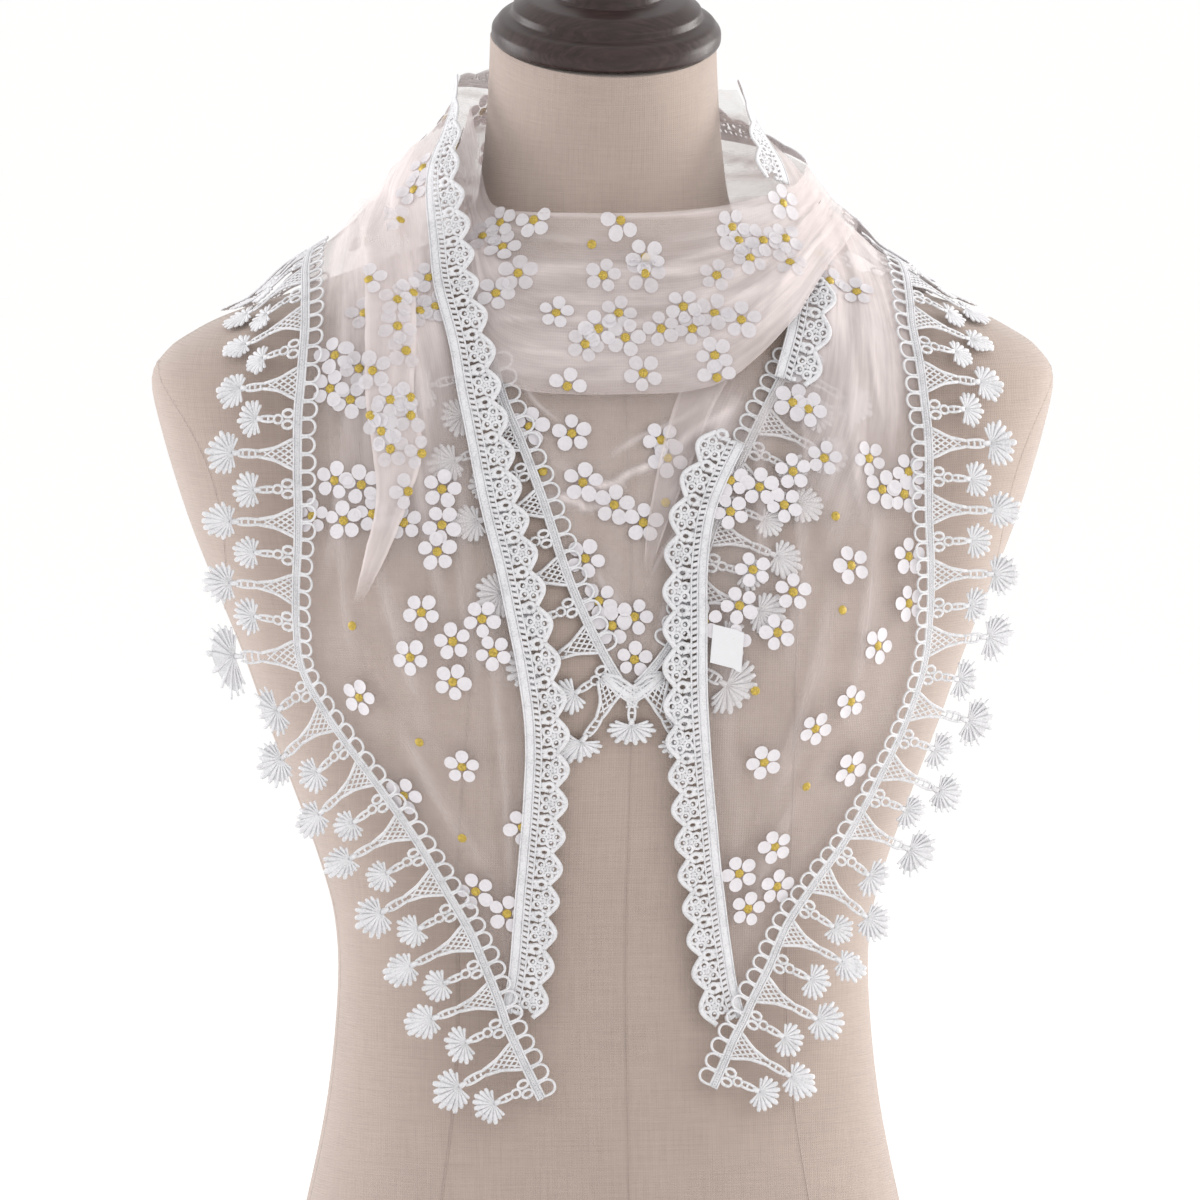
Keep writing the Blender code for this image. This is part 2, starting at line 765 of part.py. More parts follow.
class Edge:
    """A seated edge of the cloth that a lace follows: places, the way out over the edge, and heights."""

    def __init__(self, points, base, lift, side, covers, stand=1.0, stiff=None):
        self.base = base
        self.covers = covers
        self.stiff = stiff or (lambda up: 0.0)
        self.points = self.even([Vector(point) for point in points], EDGE_STEP)
        self.heights = [lift(point) for point in self.points]
        self.points = [seat(point, height, base) for point, height in zip(self.points, self.heights)]
        self.points = self.softened(self.points, 3)
        self.outs = []
        last = len(self.points) - 1
        for index, point in enumerate(self.points):
            along = self.points[min(index + 2, last)] - self.points[max(index - 2, 0)]
            _, normal, _ = off_surface(point, base)
            out = along.normalized().cross(normal) * side
            if out.y > 0:
                out.y *= stand
            if abs(point.y - SHOULDER_LINE_Y) < CREST_CALM:
                out.y = 0.0
            self.outs.append(out.normalized())
        self.outs = [out.normalized() for out in self.softened(self.outs, 8)]
        self.length = (len(self.points) - 1) * self.step

    def even(self, points, step):
        """The same line with its points at one even step."""
        lengths = [0.0]
        for near, far in zip(points, points[1:]):
            lengths.append(lengths[-1] + (far - near).length)
        count = max(2, round(lengths[-1] / step))
        self.step = lengths[-1] / count
        result = []
        index = 0
        for number in range(count + 1):
            place = min(number * self.step, lengths[-1])
            while index < len(points) - 2 and lengths[index + 1] < place:
                index += 1
            span = lengths[index + 1] - lengths[index]
            share = (place - lengths[index]) / span if span > 0 else 0.0
            result.append(points[index].lerp(points[index + 1], min(1.0, share)))
        return result

    def softened(self, vectors, rounds):
        """The vectors, each moved toward the mean of its neighbours, with the ends kept."""
        for _ in range(rounds):
            inner = [(a + b * 2 + c) / 4 for a, b, c in zip(vectors, vectors[1:], vectors[2:])]
            vectors = [vectors[0]] + inner + [vectors[-1]]
        return vectors

    def place(self, along, out, fans):
        """Foot, way out and height of a lace's point at a distance along the edge and out over it."""
        index = min(max(int(along / self.step), 0), len(self.points) - 2)
        share = along / self.step - index
        origin = self.points[index].lerp(self.points[index + 1], share)
        way = self.outs[index].lerp(self.outs[index + 1], share).normalized()
        height = self.heights[index] + (self.heights[index + 1] - self.heights[index]) * share
        if fans:
            height -= max(0.0, height - FAN_REST) * smooth_step(FALL_FROM, FALL_TO, out)
        point = origin + way * out
        hit, normal, distance = off_surface(point, self.base)
        rise = max(0.0, distance - height) if out > HEADER_HALF else 0.0
        rest = height + rise * self.stiff(point.dot(VIEW_UP) / MM)
        ahead = (self.points[index + 1] - self.points[index]).normalized() * COVER_ALONG
        rest = cover_height(hit, normal, rest, self.covers, ahead, way * COVER_ASIDE)
        return hit, normal, rest


def lifted_clear(faces, places, covers):
    """The points of a lace's two sides, raised where its faces would still cross the cloth below."""
    raised = [0.0] * len(places)
    for _ in range(CLEAR_ROUNDS):
        under = [foot + out * (rest + more) for (foot, out, rest), more in zip(places, raised)]
        over = [foot + out * (rest + more + LACE_WALL) for (foot, out, rest), more in zip(places, raised)]
        tree = BVHTree.FromPolygons(under + over, faces)
        crossing = set()
        for cover in covers:
            for face, _ in tree.overlap(cover):
                crossing.update(index % len(places) for index in faces[face])
        if not crossing:
            break
        for index in crossing:
            raised[index] += CLEAR_STEP
    return under + over


def lace_solid(name, edge, polygons, material, fans=False):
    """A closed solid from flat polygons that share their edges, laid along an edge; fans fall to the form."""
    index_of = {}
    places = []
    shapes = []
    for polygon in polygons:
        shape = []
        for along, out in polygon:
            key = (round(along * 1e6), round(out * 1e6))
            if key not in index_of:
                index_of[key] = len(places)
                places.append((along, out))
            shape.append(index_of[key])
        shapes.append(shape)
    top = len(places)
    uses = {}
    faces = []
    for shape in shapes:
        for second, third in zip(shape[1:], shape[2:]):
            faces.append((shape[0], third, second))
            faces.append((shape[0] + top, second + top, third + top))
        for near, far in zip(shape, shape[1:] + shape[:1]):
            uses.setdefault((min(near, far), max(near, far)), []).append((near, far))
    for sides in uses.values():
        if len(sides) == 1:
            near, far = sides[0]
            faces.append((near, far, far + top, near + top))
    seats = [edge.place(along, out, fans) for along, out in places]
    return add_object(name, lifted_clear(faces, seats, edge.covers), faces, material)


def fan_polygons(middle, root_half, neck_half, neck_at, stem_half, stem_at, rim, sway):
    """A motif of the lace: a tapering root, a stem if it has one, and a fan."""

    def shifted(across, out):
        return middle + across + sway * (out / FAN_REACH) ** 2, out

    root = [(middle + root_half, HEADER_HALF), shifted(neck_half, neck_at)]
    root += [shifted(-neck_half, neck_at), (middle - root_half, HEADER_HALF)]
    shapes = [root]
    base_half = neck_half
    base_at = neck_at
    if stem_at:
        shapes.append(
            [
                shifted(neck_half, neck_at),
                shifted(stem_half, stem_at),
                shifted(-stem_half, stem_at),
                shifted(-neck_half, neck_at),
            ]
        )
        base_half = stem_half
        base_at = stem_at
    right = [shifted(point.across * MM, point.out * MM) for point in rim]
    left = [shifted(-point.across * MM, point.out * MM) for point in reversed(rim) if point.across]
    shapes.append([shifted(base_half, base_at)] + right + left + [shifted(-base_half, base_at)])
    return shapes


def laced_strip(inner, outer, half):
    """Triangles of a straight strip between stops on its inner and its outer edge."""
    shapes = []
    near = 0
    far = 0
    while near < len(inner) - 1 or far < len(outer) - 1:
        corner = (inner[near], -half)
        across = (outer[far], half)
        if far == len(outer) - 1 or near < len(inner) - 1 and inner[near + 1] <= outer[far + 1]:
            near += 1
            shapes.append([corner, (inner[near], -half), across])
        else:
            far += 1
            shapes.append([corner, (outer[far], half), across])
    return shapes


def tassel_lace(name, edge, material, bare_end=0.0):
    """The fan-tasselled lace along an edge: a header, loops inside it and two fans to each repeat."""
    repeats = max(1, round(edge.length / FAN_REPEAT))
    repeat = edge.length / repeats
    loop = repeat / LOOPS_PER_REPEAT
    half = LOOP_BAR / 2
    polygons = []
    spokes = []
    for number in range(repeats):
        start = number * repeat
        big = start + repeat * BIG_AT
        small = start + repeat * SMALL_AT
        outer = [start, big - BIG_ROOT_HALF, big + BIG_ROOT_HALF]
        outer += [small - SMALL_ROOT_HALF, small + SMALL_ROOT_HALF, start + repeat]
        bars = [start + loop * (step + 0.5) for step in range(LOOPS_PER_REPEAT)]
        bars = [bar for bar in bars if bar < edge.length - bare_end]
        spokes += bars
        inner = [start + repeat]
        for bar in reversed(bars):
            inner += [bar + half, bar - half]
        inner.append(start)
        polygons += laced_strip(list(reversed(inner)), outer, HEADER_HALF)
        sway = FAN_SWAY * math.sin(SWAY_TURN * number + SWAY_START)
        polygons += fan_polygons(
            big, BIG_ROOT_HALF, BIG_NECK_HALF, BIG_NECK_AT, BIG_STEM_HALF, BIG_STEM_AT, BIG_FAN, sway
        )
        polygons += fan_polygons(
            small, SMALL_ROOT_HALF, SMALL_NECK_HALF, SMALL_NECK_AT, 0.0, 0.0, SMALL_FAN, -sway
        )
    for bar in spokes:
        corners = [(bar - half, -HEADER_HALF), (bar - half, -LOOP_SPOKE)]
        corners += [(bar + half, -LOOP_SPOKE), (bar + half, -HEADER_HALF)]
        polygons.append(corners)
        polygons.append([(bar - half, -LOOP_SPOKE), (bar, -LOOP_DEPTH), (bar + half, -LOOP_SPOKE)])
    for bar, after in zip(spokes, spokes[1:]):
        rail = [(bar + half, -LOOP_SPOKE), (bar, -LOOP_DEPTH)]
        rail += [(after, -LOOP_DEPTH), (after - half, -LOOP_SPOKE)]
        polygons.append(rail)
    return lace_solid(name, edge, polygons, material, True)


def scallop_lace(name, edge, material):
    """The scalloped lace along the long edge: a straight selvage and a row of rounded scallops."""
    repeats = max(1, round(edge.length / SCALLOP_PITCH))
    pitch = edge.length / repeats
    stops = [(0.0, SCALLOP_VALLEY)]
    for number in range(repeats):
        start = number * pitch
        stops.append((start + PEAK_FROM * pitch, SCALLOP_PEAK))
        stops.append((start + PEAK_TO * pitch, SCALLOP_PEAK))
        stops.append((start + pitch, SCALLOP_VALLEY))
    polygons = []
    for (near, near_out), (far, far_out) in zip(stops, stops[1:]):
        polygons.append([(near, -SCALLOP_LAP), (far, -SCALLOP_LAP), (far, far_out), (near, near_out)])
    return lace_solid(name, edge, polygons, material)


def lace_lift(base_lift, tip_from=None):
    """Height rule of a lace over the form, higher near a tip where it crosses the other lace."""

    def rule(point):
        up = point.dot(VIEW_UP) / MM
        lift = base_lift(up) + LACE_STEP
        if tip_from is not None:
            lift += TIP_STEP * smooth_step(tip_from, tip_from - TIP_LIFT_EASE, up)
        return lift

    return rule


def front_path(places, base):
    """Points on a base surface under a line of places in the front view."""
    return [seen(place[0], place[1], base) for place in spline(places, FRONT_PATH_STEPS)]


def from_shoulder(points, degrees, up, gap):
    """The points, led off by one on the shoulder line."""
    first = around(degrees, up, BRIDGE)
    first.y += gap
    return [first] + points


def fan_stiffness(up):
    """How far the fans keep straight instead of lying on the form: not at all on the shoulders."""
    return smooth_step(STIFF_FROM, STIFF_TO, up)


def end_tassels(name, rows, degrees, crest, tip, lift, side, covers, lace):
    """The tasselled lace of a hanging end, from the shoulder to past its tip."""
    outer = [Point2(row.out_across, row.out_up) for row in rows] + tip
    points = from_shoulder(front_path(outer, BRIDGE), degrees, crest[-1], -CREST_GAP)
    edge = Edge(points, BRIDGE, lace_lift(lift, TIP_LIFT_FROM), side, covers, FAN_STAND, fan_stiffness)
    return tassel_lace(name, edge, lace)


def end_scallops(left_end, right_end, lace):
    """The scalloped lace on the inner edges of both ends; on the right it is turned over for a stretch."""
    inner = [Point2(row.in_across, row.in_up) for row in LEFT_END]
    points = from_shoulder(front_path(inner, BRIDGE), 180, LEFT_CREST[0], -CREST_GAP)
    edge = Edge(points, BRIDGE, lace_lift(left_lift), -1, [left_end])
    left = scallop_lace("left_scallop_lace", edge, lace)
    inner = [Point2(row.in_across, row.in_up) for row in RIGHT_END]
    low = front_path([place for place in inner if place.up < TURN_LOW], BRIDGE)
    edge = Edge(low, BRIDGE, lace_lift(right_lift), 1, [right_end])
    right = scallop_lace("right_scallop_lace", edge, lace)
    turned = front_path([place for place in inner if TURN_LOW < place.up < TURN_HIGH], BRIDGE)
    edge = Edge(turned, BRIDGE, lace_lift(right_lift), -1, [right_end])
    scallop_lace("right_scallop_turned", edge, lace)
    nape = front_path([place for place in inner if place.up > NAPE_FROM], BRIDGE)
    points = from_shoulder(nape, 0, RIGHT_CREST[0], -CREST_GAP)
    edge = Edge(points, BRIDGE, lace_lift(right_lift), 1, [right_end])
    scallop_lace("right_scallop_nape", edge, lace)
    return surface_of(left), surface_of(right)


def bib_laces(bib, lace):
    """The tasselled lace on both sides of the V."""
    for name, places, side in (
        ("bib_tassel_lace_left", BIB_LEFT, 1),
        ("bib_tassel_lace_right", BIB_RIGHT, -1),
    ):
        edge = Edge(front_path(places, FORM), FORM, lambda point: BIB_LACE_LIFT, side, [bib])
        tassel_lace(name, edge, lace, BIB_POINT_BARE)


def back_path(rows, column, crest, last_degrees):
    """Points of the bridge along an edge behind, from the right shoulder to the left or part of the way."""
    points = from_shoulder([], 0, crest, CREST_GAP)
    for row in spline(rows, BACK_PATH_STEPS):
        row = BackRow(*row)
        if row.degrees <= last_degrees:
            points.append(around(row.degrees, row[column], BRIDGE))
    return points


def back_laces(over, under, lace):
    """The tasselled lace along the low edges behind, and the scalloped lace at the nape."""
    low = BackRow._fields.index("low")
    points = back_path(BACK_UNDER, low, RIGHT_CREST[-1], UNDER_LACE_TO)
    edge = Edge(points, BRIDGE, lace_lift(lambda up: LOW_LIFT), 1, [under])
    under_lace = surface_of(tassel_lace("back_tassel_lace_under", edge, lace))
    points = back_path(BACK_OVER, low, BAND_RIGHT_CREST[-1], 180)
    points += from_shoulder([], 180, LEFT_CREST[-1], CREST_GAP)
    covers = [over, under, under_lace]
    edge = Edge(points, BRIDGE, lace_lift(lambda up: HIGH_LIFT), 1, covers)
    tassel_lace("back_tassel_lace_over", edge, lace)
    top = BackRow._fields.index("top")
    points = back_path(BACK_OVER, top, BAND_RIGHT_CREST[0], 165)
    edge = Edge(points, BRIDGE, lace_lift(lambda up: HIGH_LIFT), -1, [over])
    scallop_lace("nape_scallop_lace", edge, lace)


def label(material):
    """The small blank label on the right selvage."""
    grid = []
    for up in (LABEL_LOW.up, LABEL_HIGH.up):
        grid.append([seen(across, up, BRIDGE) for across in (LABEL_LOW.across, LABEL_HIGH.across)])
    lifts = [[LOW_LIFT + LACE_STEP] * 2] * 2
    return seated_wall("label", grid, lifts, BRIDGE, material, LABEL_WALL)


def form_torso(material):
    """The linen-covered torso with its neck, flat underneath."""
    points, faces = ring_mesh(FORM_RINGS, FORM_SEGMENTS)
    item = add_object("form_torso", points, faces, material)
    item.data.shade_smooth()
    item.data.set_sharp_from_angle(angle=math.radians(TORSO_SHARP))
    return item


def form_neck_cap(material):
    """The turned wooden cap on the neck's tilted top."""
    top = FORM_RINGS[-1]
    middle = Vector((0.0, (top.front + top.back) / 2 * MM, top.z * MM))
    lean = math.atan(math.sin(NECK_TILT))
    axis = Vector((0.0, -math.sin(lean), math.cos(lean)))
    forward = Vector((0.0, math.cos(lean), math.sin(lean)))
    points = []
    for turn in CAP_PROFILE:
        for step in range(CAP_SEGMENTS):
            angle = 2 * math.pi * step / CAP_SEGMENTS
            across = Vector((math.cos(angle), 0.0, 0.0)) + forward * math.sin(angle)
            points.append(middle + axis * turn.height * MM + across * turn.radius * MM)
    faces = []
    for row in range(len(CAP_PROFILE) - 1):
        for step in range(CAP_SEGMENTS):
            after = (step + 1) % CAP_SEGMENTS
            low = row * CAP_SEGMENTS
            high = low + CAP_SEGMENTS
            faces.append((low + step, low + after, high + after, high + step))
    faces.append(tuple(reversed(range(CAP_SEGMENTS))))
    last = (len(CAP_PROFILE) - 1) * CAP_SEGMENTS
    faces.append(tuple(range(last, last + CAP_SEGMENTS)))
    item = add_object("form_neck_cap", points, faces, material)
    item.data.shade_smooth()
    item.data.set_sharp_from_angle(angle=math.radians(CAP_SHARP))
    return item


def plain_material(name, colour, roughness):
    """A Principled material with one colour."""
    material = bpy.data.materials.new(name)
    material.use_nodes = True
    shader = material.node_tree.nodes["Principled BSDF"]
    shader.inputs["Base Color"].default_value = (*colour, 1.0)
    shader.inputs["Roughness"].default_value = roughness
    shader.inputs["Metallic"].default_value = 0.0
    return material


def main():
    for item in list(bpy.data.objects):
        bpy.data.objects.remove(item)
    linen = plain_material("linen", (0.52, 0.45, 0.40), 0.9)
    wood = plain_material("dark_wood", (0.045, 0.03, 0.028), 0.35)
    tulle = plain_material("tulle", (0.86, 0.83, 0.83), 0.8)
    lace = plain_material("lace", (0.90, 0.89, 0.90), 0.85)
    tape = plain_material("label_tape", (0.92, 0.92, 0.92), 0.6)

    form_torso(linen)
    form_neck_cap(wood)
    bib = surface_of(front_bib(tulle))
    throat_band(tulle)
    left = hanging_end("left_end", LEFT_END, LEFT_CREST, 180, LEFT_GATHERS, left_lift, tulle)
    right = hanging_end("right_end", RIGHT_END, RIGHT_CREST, 0, RIGHT_GATHERS, right_lift, tulle)
    over = back_stretch("back_over", BACK_OVER, BAND_RIGHT_CREST, LEFT_CREST, HIGH_LIFT, False, tulle)
    under = back_stretch("back_under", BACK_UNDER, RIGHT_CREST, BAND_LEFT_CREST, LOW_LIFT, True, tulle)
    left = surface_of(left)
    right = surface_of(right)
    pleat("left_pleat", LEFT_PLEAT, BRIDGE, left, LEFT_PLEAT_PEAK, tulle)
    pleat("right_pleat", RIGHT_PLEAT, FORM, bib, RIGHT_PLEAT_PEAK, tulle)
    bib_laces(bib, lace)
    left_scallops, right_scallops = end_scallops(left, right, lace)
    covers = [left, left_scallops]
    end_tassels("left_tassel_lace", LEFT_END, 180, LEFT_CREST, LEFT_TIP, left_lift, 1, covers, lace)
    covers = [right, right_scallops]
    end_tassels("right_tassel_lace", RIGHT_END, 0, RIGHT_CREST, RIGHT_TIP, right_lift, -1, covers, lace)
    back_laces(surface_of(over), surface_of(under), lace)
    label(tape)


main()
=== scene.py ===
"""Lace shawl on a limbless dress form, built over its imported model.

Metres, +Z up. X is the viewer's right and the form faces -Y. The tables are in millimetres, and the edges and
creases of the cloth in front are given as seen from the front, across and up on a plane square to the view.
"""

import math
from collections import namedtuple

import bpy
import numpy as np
from bpy.props import FloatProperty, FloatVectorProperty, PointerProperty
from bpy.types import Operator, Panel, PropertyGroup
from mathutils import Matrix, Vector
from mathutils.bvhtree import BVHTree


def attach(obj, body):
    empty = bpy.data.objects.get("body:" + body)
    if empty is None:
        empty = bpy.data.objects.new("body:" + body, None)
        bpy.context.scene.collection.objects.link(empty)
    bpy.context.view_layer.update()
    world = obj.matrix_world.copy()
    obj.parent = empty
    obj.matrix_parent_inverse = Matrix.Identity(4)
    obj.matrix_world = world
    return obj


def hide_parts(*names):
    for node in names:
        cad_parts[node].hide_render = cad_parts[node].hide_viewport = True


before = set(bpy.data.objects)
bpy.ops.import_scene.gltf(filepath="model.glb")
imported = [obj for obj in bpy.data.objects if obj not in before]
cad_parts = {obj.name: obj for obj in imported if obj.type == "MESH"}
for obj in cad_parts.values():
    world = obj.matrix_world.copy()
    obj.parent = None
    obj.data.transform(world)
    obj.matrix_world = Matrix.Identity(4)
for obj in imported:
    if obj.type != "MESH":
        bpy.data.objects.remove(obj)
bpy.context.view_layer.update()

bl_info = {
    "name": "Lace shawl on a dress form",
    "version": (1, 0, 0),
    "blender": (4, 5, 0),
    "location": "View3D > Sidebar > Lace shawl",
    "description": "Builds a tulle shawl with two laces, wound round the neck of a linen-covered dress form",
    "category": "Object",
}


def metres(name, description, default):
    """A length in metres that a user may change."""
    return FloatProperty(
        name=name, description=description, default=default, min=default / 4, max=default * 4,
        precision=5, subtype="DISTANCE", unit="LENGTH",
    )


def tint(name, description, default):
    """A colour that a user may change."""
    return FloatVectorProperty(
        name=name, description=description, default=default, min=0.0, max=1.0, size=3, subtype="COLOR"
    )


class ShawlSizes(PropertyGroup):
    """Sizes of the shawl's laces and flowers, and of the form's weave."""

    fan_repeat: metres("Fan repeat", "Length of one repeat of the fan-tasselled lace", 0.030)
    scallop_pitch: metres("Scallop pitch", "Width of one scallop of the scalloped lace", 0.016)
    thread: metres("Lace thread", "Half the width of the lace's plain threads", 0.0006)
    petal: metres("Petal", "Half the width of one petal of a flower", 0.0029)
    flower_dot: metres("Flower dot", "Radius of the gold dot in a flower", 0.0022)
    net_mesh: metres("Net mesh", "Width of one hole of the tulle's net", 0.0011)
    weave: metres("Linen weave", "Distance between two threads of the linen", 0.0011)


class ShawlColours(PropertyGroup):
    """Colours of the shawl, the form and the floor."""

    linen: tint("Linen", "Colour of the form's linen cover", (0.375, 0.302, 0.265))
    wood: tint("Wood", "Colour of the neck cap's stained wood", (0.030, 0.017, 0.016))
    tulle: tint("Tulle", "Colour of the net", (0.68, 0.605, 0.595))
    lace: tint("Lace", "Colour of both laces", (0.67, 0.665, 0.685))
    petal: tint("Petals", "Colour of the flowers", (0.73, 0.70, 0.73))
    gold: tint("Gold", "Colour of the dots in the flowers", (0.46, 0.33, 0.06))
    label: tint("Label", "Colour of the blank label", (0.72, 0.72, 0.74))
    floor: tint("Floor", "Colour of the floor", (0.95, 0.95, 0.945))


MM = 0.001
TURN = 2 * math.pi


def sizes():
    """The scene's sizes, which a user may change."""
    return bpy.context.scene.shawl_sizes


def table(kind, *rows):
    """Rows of numbers as records of one kind."""
    return [kind(*row) for row in rows]


# The front view, which the edge tables are measured in
VIEW_AZIMUTH = math.radians(-6.5)
VIEW_ELEVATION = math.radians(3.5)
VIEW_RIGHT = Vector((math.cos(VIEW_AZIMUTH), math.sin(VIEW_AZIMUTH), 0.0))
LEVEL = math.cos(VIEW_ELEVATION)
VIEW_AHEAD = Vector((-math.sin(VIEW_AZIMUTH) * LEVEL, math.cos(VIEW_AZIMUTH) * LEVEL, -math.sin(VIEW_ELEVATION)))
VIEW_UP = VIEW_RIGHT.cross(VIEW_AHEAD)

# Dress form: how far the neck leans and from where, and the two low mounds of the bust
NECK_TILT = math.radians(15.0)
TILT_START = 560 * MM
NECK_TOP = 635 * MM
BUST_ACROSS = 72 * MM
BUST_HEIGHT = 362 * MM
BUST_RISE = 13 * MM
BUST_SPREAD = 40 * MM
BUST_FULL_AT = 0.5

# The line over the shoulders where front and back meet: its place, the gap there, and where an edge runs level
SHOULDER_LINE_Y = 4 * MM
CREST_GAP = 0.4 * MM
CREST_CALM = 18 * MM

# How near a base surface its own normal is the way out, and where the pieces under a point are looked for
TOUCHING = 0.2 * MM
COVER_REACH = 25 * MM
COVER_ALONG = 4 * MM
COVER_ASIDE = 3 * MM

# Walls of cloth and lace, and the gaps between layers
TULLE_WALL = 1.0 * MM
BAND_WALL = 1.2 * MM
LACE_WALL = 1.1 * MM
SEAM_GAP = 0.3 * MM
LAYER_GAP = 0.4 * MM
STACK_GAP = 1.8 * MM

# Height of each layer's underside over the form
BIB_LIFT = 0.9 * MM
BIB_LACE_LIFT = BIB_LIFT + TULLE_WALL + LAYER_GAP
LOW_LIFT = BIB_LACE_LIFT + LACE_WALL + STACK_GAP
HIGH_LIFT = LOW_LIFT + 4.0 * MM
LACE_STEP = TULLE_WALL + LAYER_GAP
TIP_STEP = LACE_WALL + LAYER_GAP

# Heights between which the left end climbs onto the band, and the fans fall straight
CLIMB_FROM = 425
CLIMB_TO = 470
STIFF_FROM = 520
STIFF_TO = 420

# Rings of the form: height, half width, front and back, and how square the outline is
Ring = namedtuple("Ring", "z half front back square")
FORM_RINGS = table(
    Ring, (0, 158, -118, 125, 2.3), (30, 154, -116, 122, 2.3), (60, 147, -112, 118, 2.3), (112, 134, -103, 104, 2.3),
    (160, 124.5, -95, 90, 2.3), (209, 120, -88, 80, 2.3), (240, 121.5, -89, 78, 2.3), (265, 128, -94, 80, 2.3),
    (293, 138, -101, 84, 2.3), (328, 151.5, -108, 90, 2.3), (360, 163, -112, 95, 2.35), (392, 176, -110, 99, 2.4),
    (423, 188, -104, 101, 2.5), (459, 199, -95, 100, 2.6), (484, 204, -86, 97, 2.6), (497, 197, -81, 93, 2.5),
    (505, 186, -78, 91, 2.4), (513, 170, -74, 87, 2.3), (524, 137, -69, 82, 2.2), (535, 107, -64, 76, 2.1),
    (544, 80, -60, 70, 2), (553, 64, -57, 65, 2), (562, 57.5, -55, 61, 2), (585, 54, -56, 53, 2), (610, 52, -59, 46, 2),
    (635, 51, -63, 39, 2),
)

# The same rings where the gathered cloth bridges from the neck to the shoulders
BRIDGE_START = 500
BRIDGE_RINGS = table(
    Ring, (511, 174, -76, 89, 2.3), (522, 148, -72, 86, 2.2), (534, 125, -68, 83, 2.1), (546, 109, -65, 80, 2),
    (558, 96, -63, 76, 2), (577, 82, -62, 69, 2), (592, 67, -61, 62, 2), (606, 58, -61, 54, 2), (620, 54, -62, 46, 2),
    (635, 52, -64, 40, 2),
)

# Turned neck cap: radius and height over the neck's top
Turn = namedtuple("Turn", "radius height")
CAP_PROFILE = table(
    Turn, (50, 0.3), (51.8, 3), (51.8, 7.5), (48.5, 12), (43.2, 13.8), (42.8, 17.5), (36.5, 22), (26, 24), (25, 28),
    (16.5, 31.5), (12, 36), (16, 42), (14.5, 50), (7, 55.5),
)

# One row of a hanging end, from its inner edge to its outer edge, as seen from the front
EndRow = namedtuple("EndRow", "in_across in_up out_across out_up")
LEFT_END = table(
    EndRow, (-71, 566, -131, 500), (-72, 541, -133, 480), (-72, 518, -134, 459), (-67, 496, -134, 436),
    (-63, 473, -133, 413), (-58, 449, -133, 390), (-52, 420, -132, 370), (-46, 396, -129, 353), (-41, 372, -116, 330),
    (-36, 348, -97, 303), (-33, 325, -81, 279), (-33, 297, -68, 255), (-35, 268, -58, 236), (-37, 240, -50, 216),
    (-39, 215, -45, 202), (-42, 197, -43, 194),
)
RIGHT_END = table(
    EndRow, (77, 567, 136, 503), (84, 545, 140, 485), (86, 524, 142, 466), (84, 503, 143, 447), (78, 480, 142, 424),
    (60, 451, 142, 402), (48, 424, 141, 380), (44, 398, 138, 356), (44, 372, 130, 331), (44, 346, 117, 303),
    (45, 318, 104, 278), (47, 288, 90, 257), (49, 263, 79, 239), (52, 236, 70, 217), (55, 212, 62, 199),
    (59, 195, 60, 192),
)

# Heights at which each stretch passes over the shoulder line, from its top edge to its low edge
LEFT_CREST = [614, 590, 560, 534]
RIGHT_CREST = [612, 588, 560, 533]
BAND_LEFT_CREST = [606, 585, 562]
BAND_RIGHT_CREST = [574, 559, 546]

Point2 = namedtuple("Point2", "across up")

# Lower stretches of the laces, past the tips of the ends
LEFT_TIP = table(Point2, (-41, 189), (-34, 173), (-27, 158))
RIGHT_TIP = table(Point2, (57, 188), (52, 175), (47, 163))

# The folded band at the throat: its top and bottom edge at each place across
BandRow = namedtuple("BandRow", "top_across top_up low_across low_up lift bridge step")
THROAT_BAND = table(
    BandRow, (-51, 586, -60, 538, 0, 0.35, 0.3), (-49, 567, -60, 512, 0, 0.35, 0.35),
    (-44, 558, -54, 487, 0, 0.35, 0.45), (-30, 556, -39, 475, 0, 0.4, 0.8), (-10, 556, -15, 472, 0.2, 0.5, 1),
    (12, 556, 12, 472, 0.5, 0.8, 1), (34, 557, 36, 473, 1, 1, 1), (52, 559, 54, 478, 2.4, 1, 1),
    (67, 562, 69, 489, 3.4, 1, 0.9), (79, 565, 86, 507, 4, 1, 0.7),
)

# Fall of the band's folds: share of the way down, and how far the fold stands out there
Fold = namedtuple("Fold", "down out")
BAND_FOLDS = table(
    Fold, (0, 0.4), (0.14, 0), (0.3, 0.4), (0.34, 1.9), (0.47, 1.6), (0.6, 2), (0.64, 3.5), (0.82, 3.1), (1, 2.2),
)

# The V below the band, each side from the top to the point
BIB_LEFT = table(Point2, (-50, 492), (-45, 472), (-37, 453), (-27, 426), (-16, 392), (-4, 365), (8, 345))
BIB_RIGHT = table(
    Point2, (85, 492), (71, 464), (62, 446), (54, 428), (46, 405), (39, 383), (32, 365), (23, 353), (15, 345),
)

# The stretches behind: degrees round the neck from the viewer's right shoulder, and heights of both edges
BackRow = namedtuple("BackRow", "degrees top low")
BACK_OVER = table(
    BackRow, (12, 578, 537), (35, 584, 521), (60, 591, 505), (90, 600, 497), (120, 607, 500), (145, 611, 510),
    (168, 613, 526),
)
BACK_UNDER = table(
    BackRow, (12, 611, 524), (35, 610, 510), (60, 609, 503), (90, 607, 505), (120, 606, 519), (145, 605, 540),
    (168, 605, 556),
)

# Columns of both edges, degrees to which their laces reach, and where and how far the under stretch hugs the neck
BACK_TOP = 1
BACK_LOW = 2
NAPE_LACE_TO = 165
UNDER_LACE_TO = 70
HUG_FROM = 110
HUG_TO = 165
HUG_SHARE = 0.65

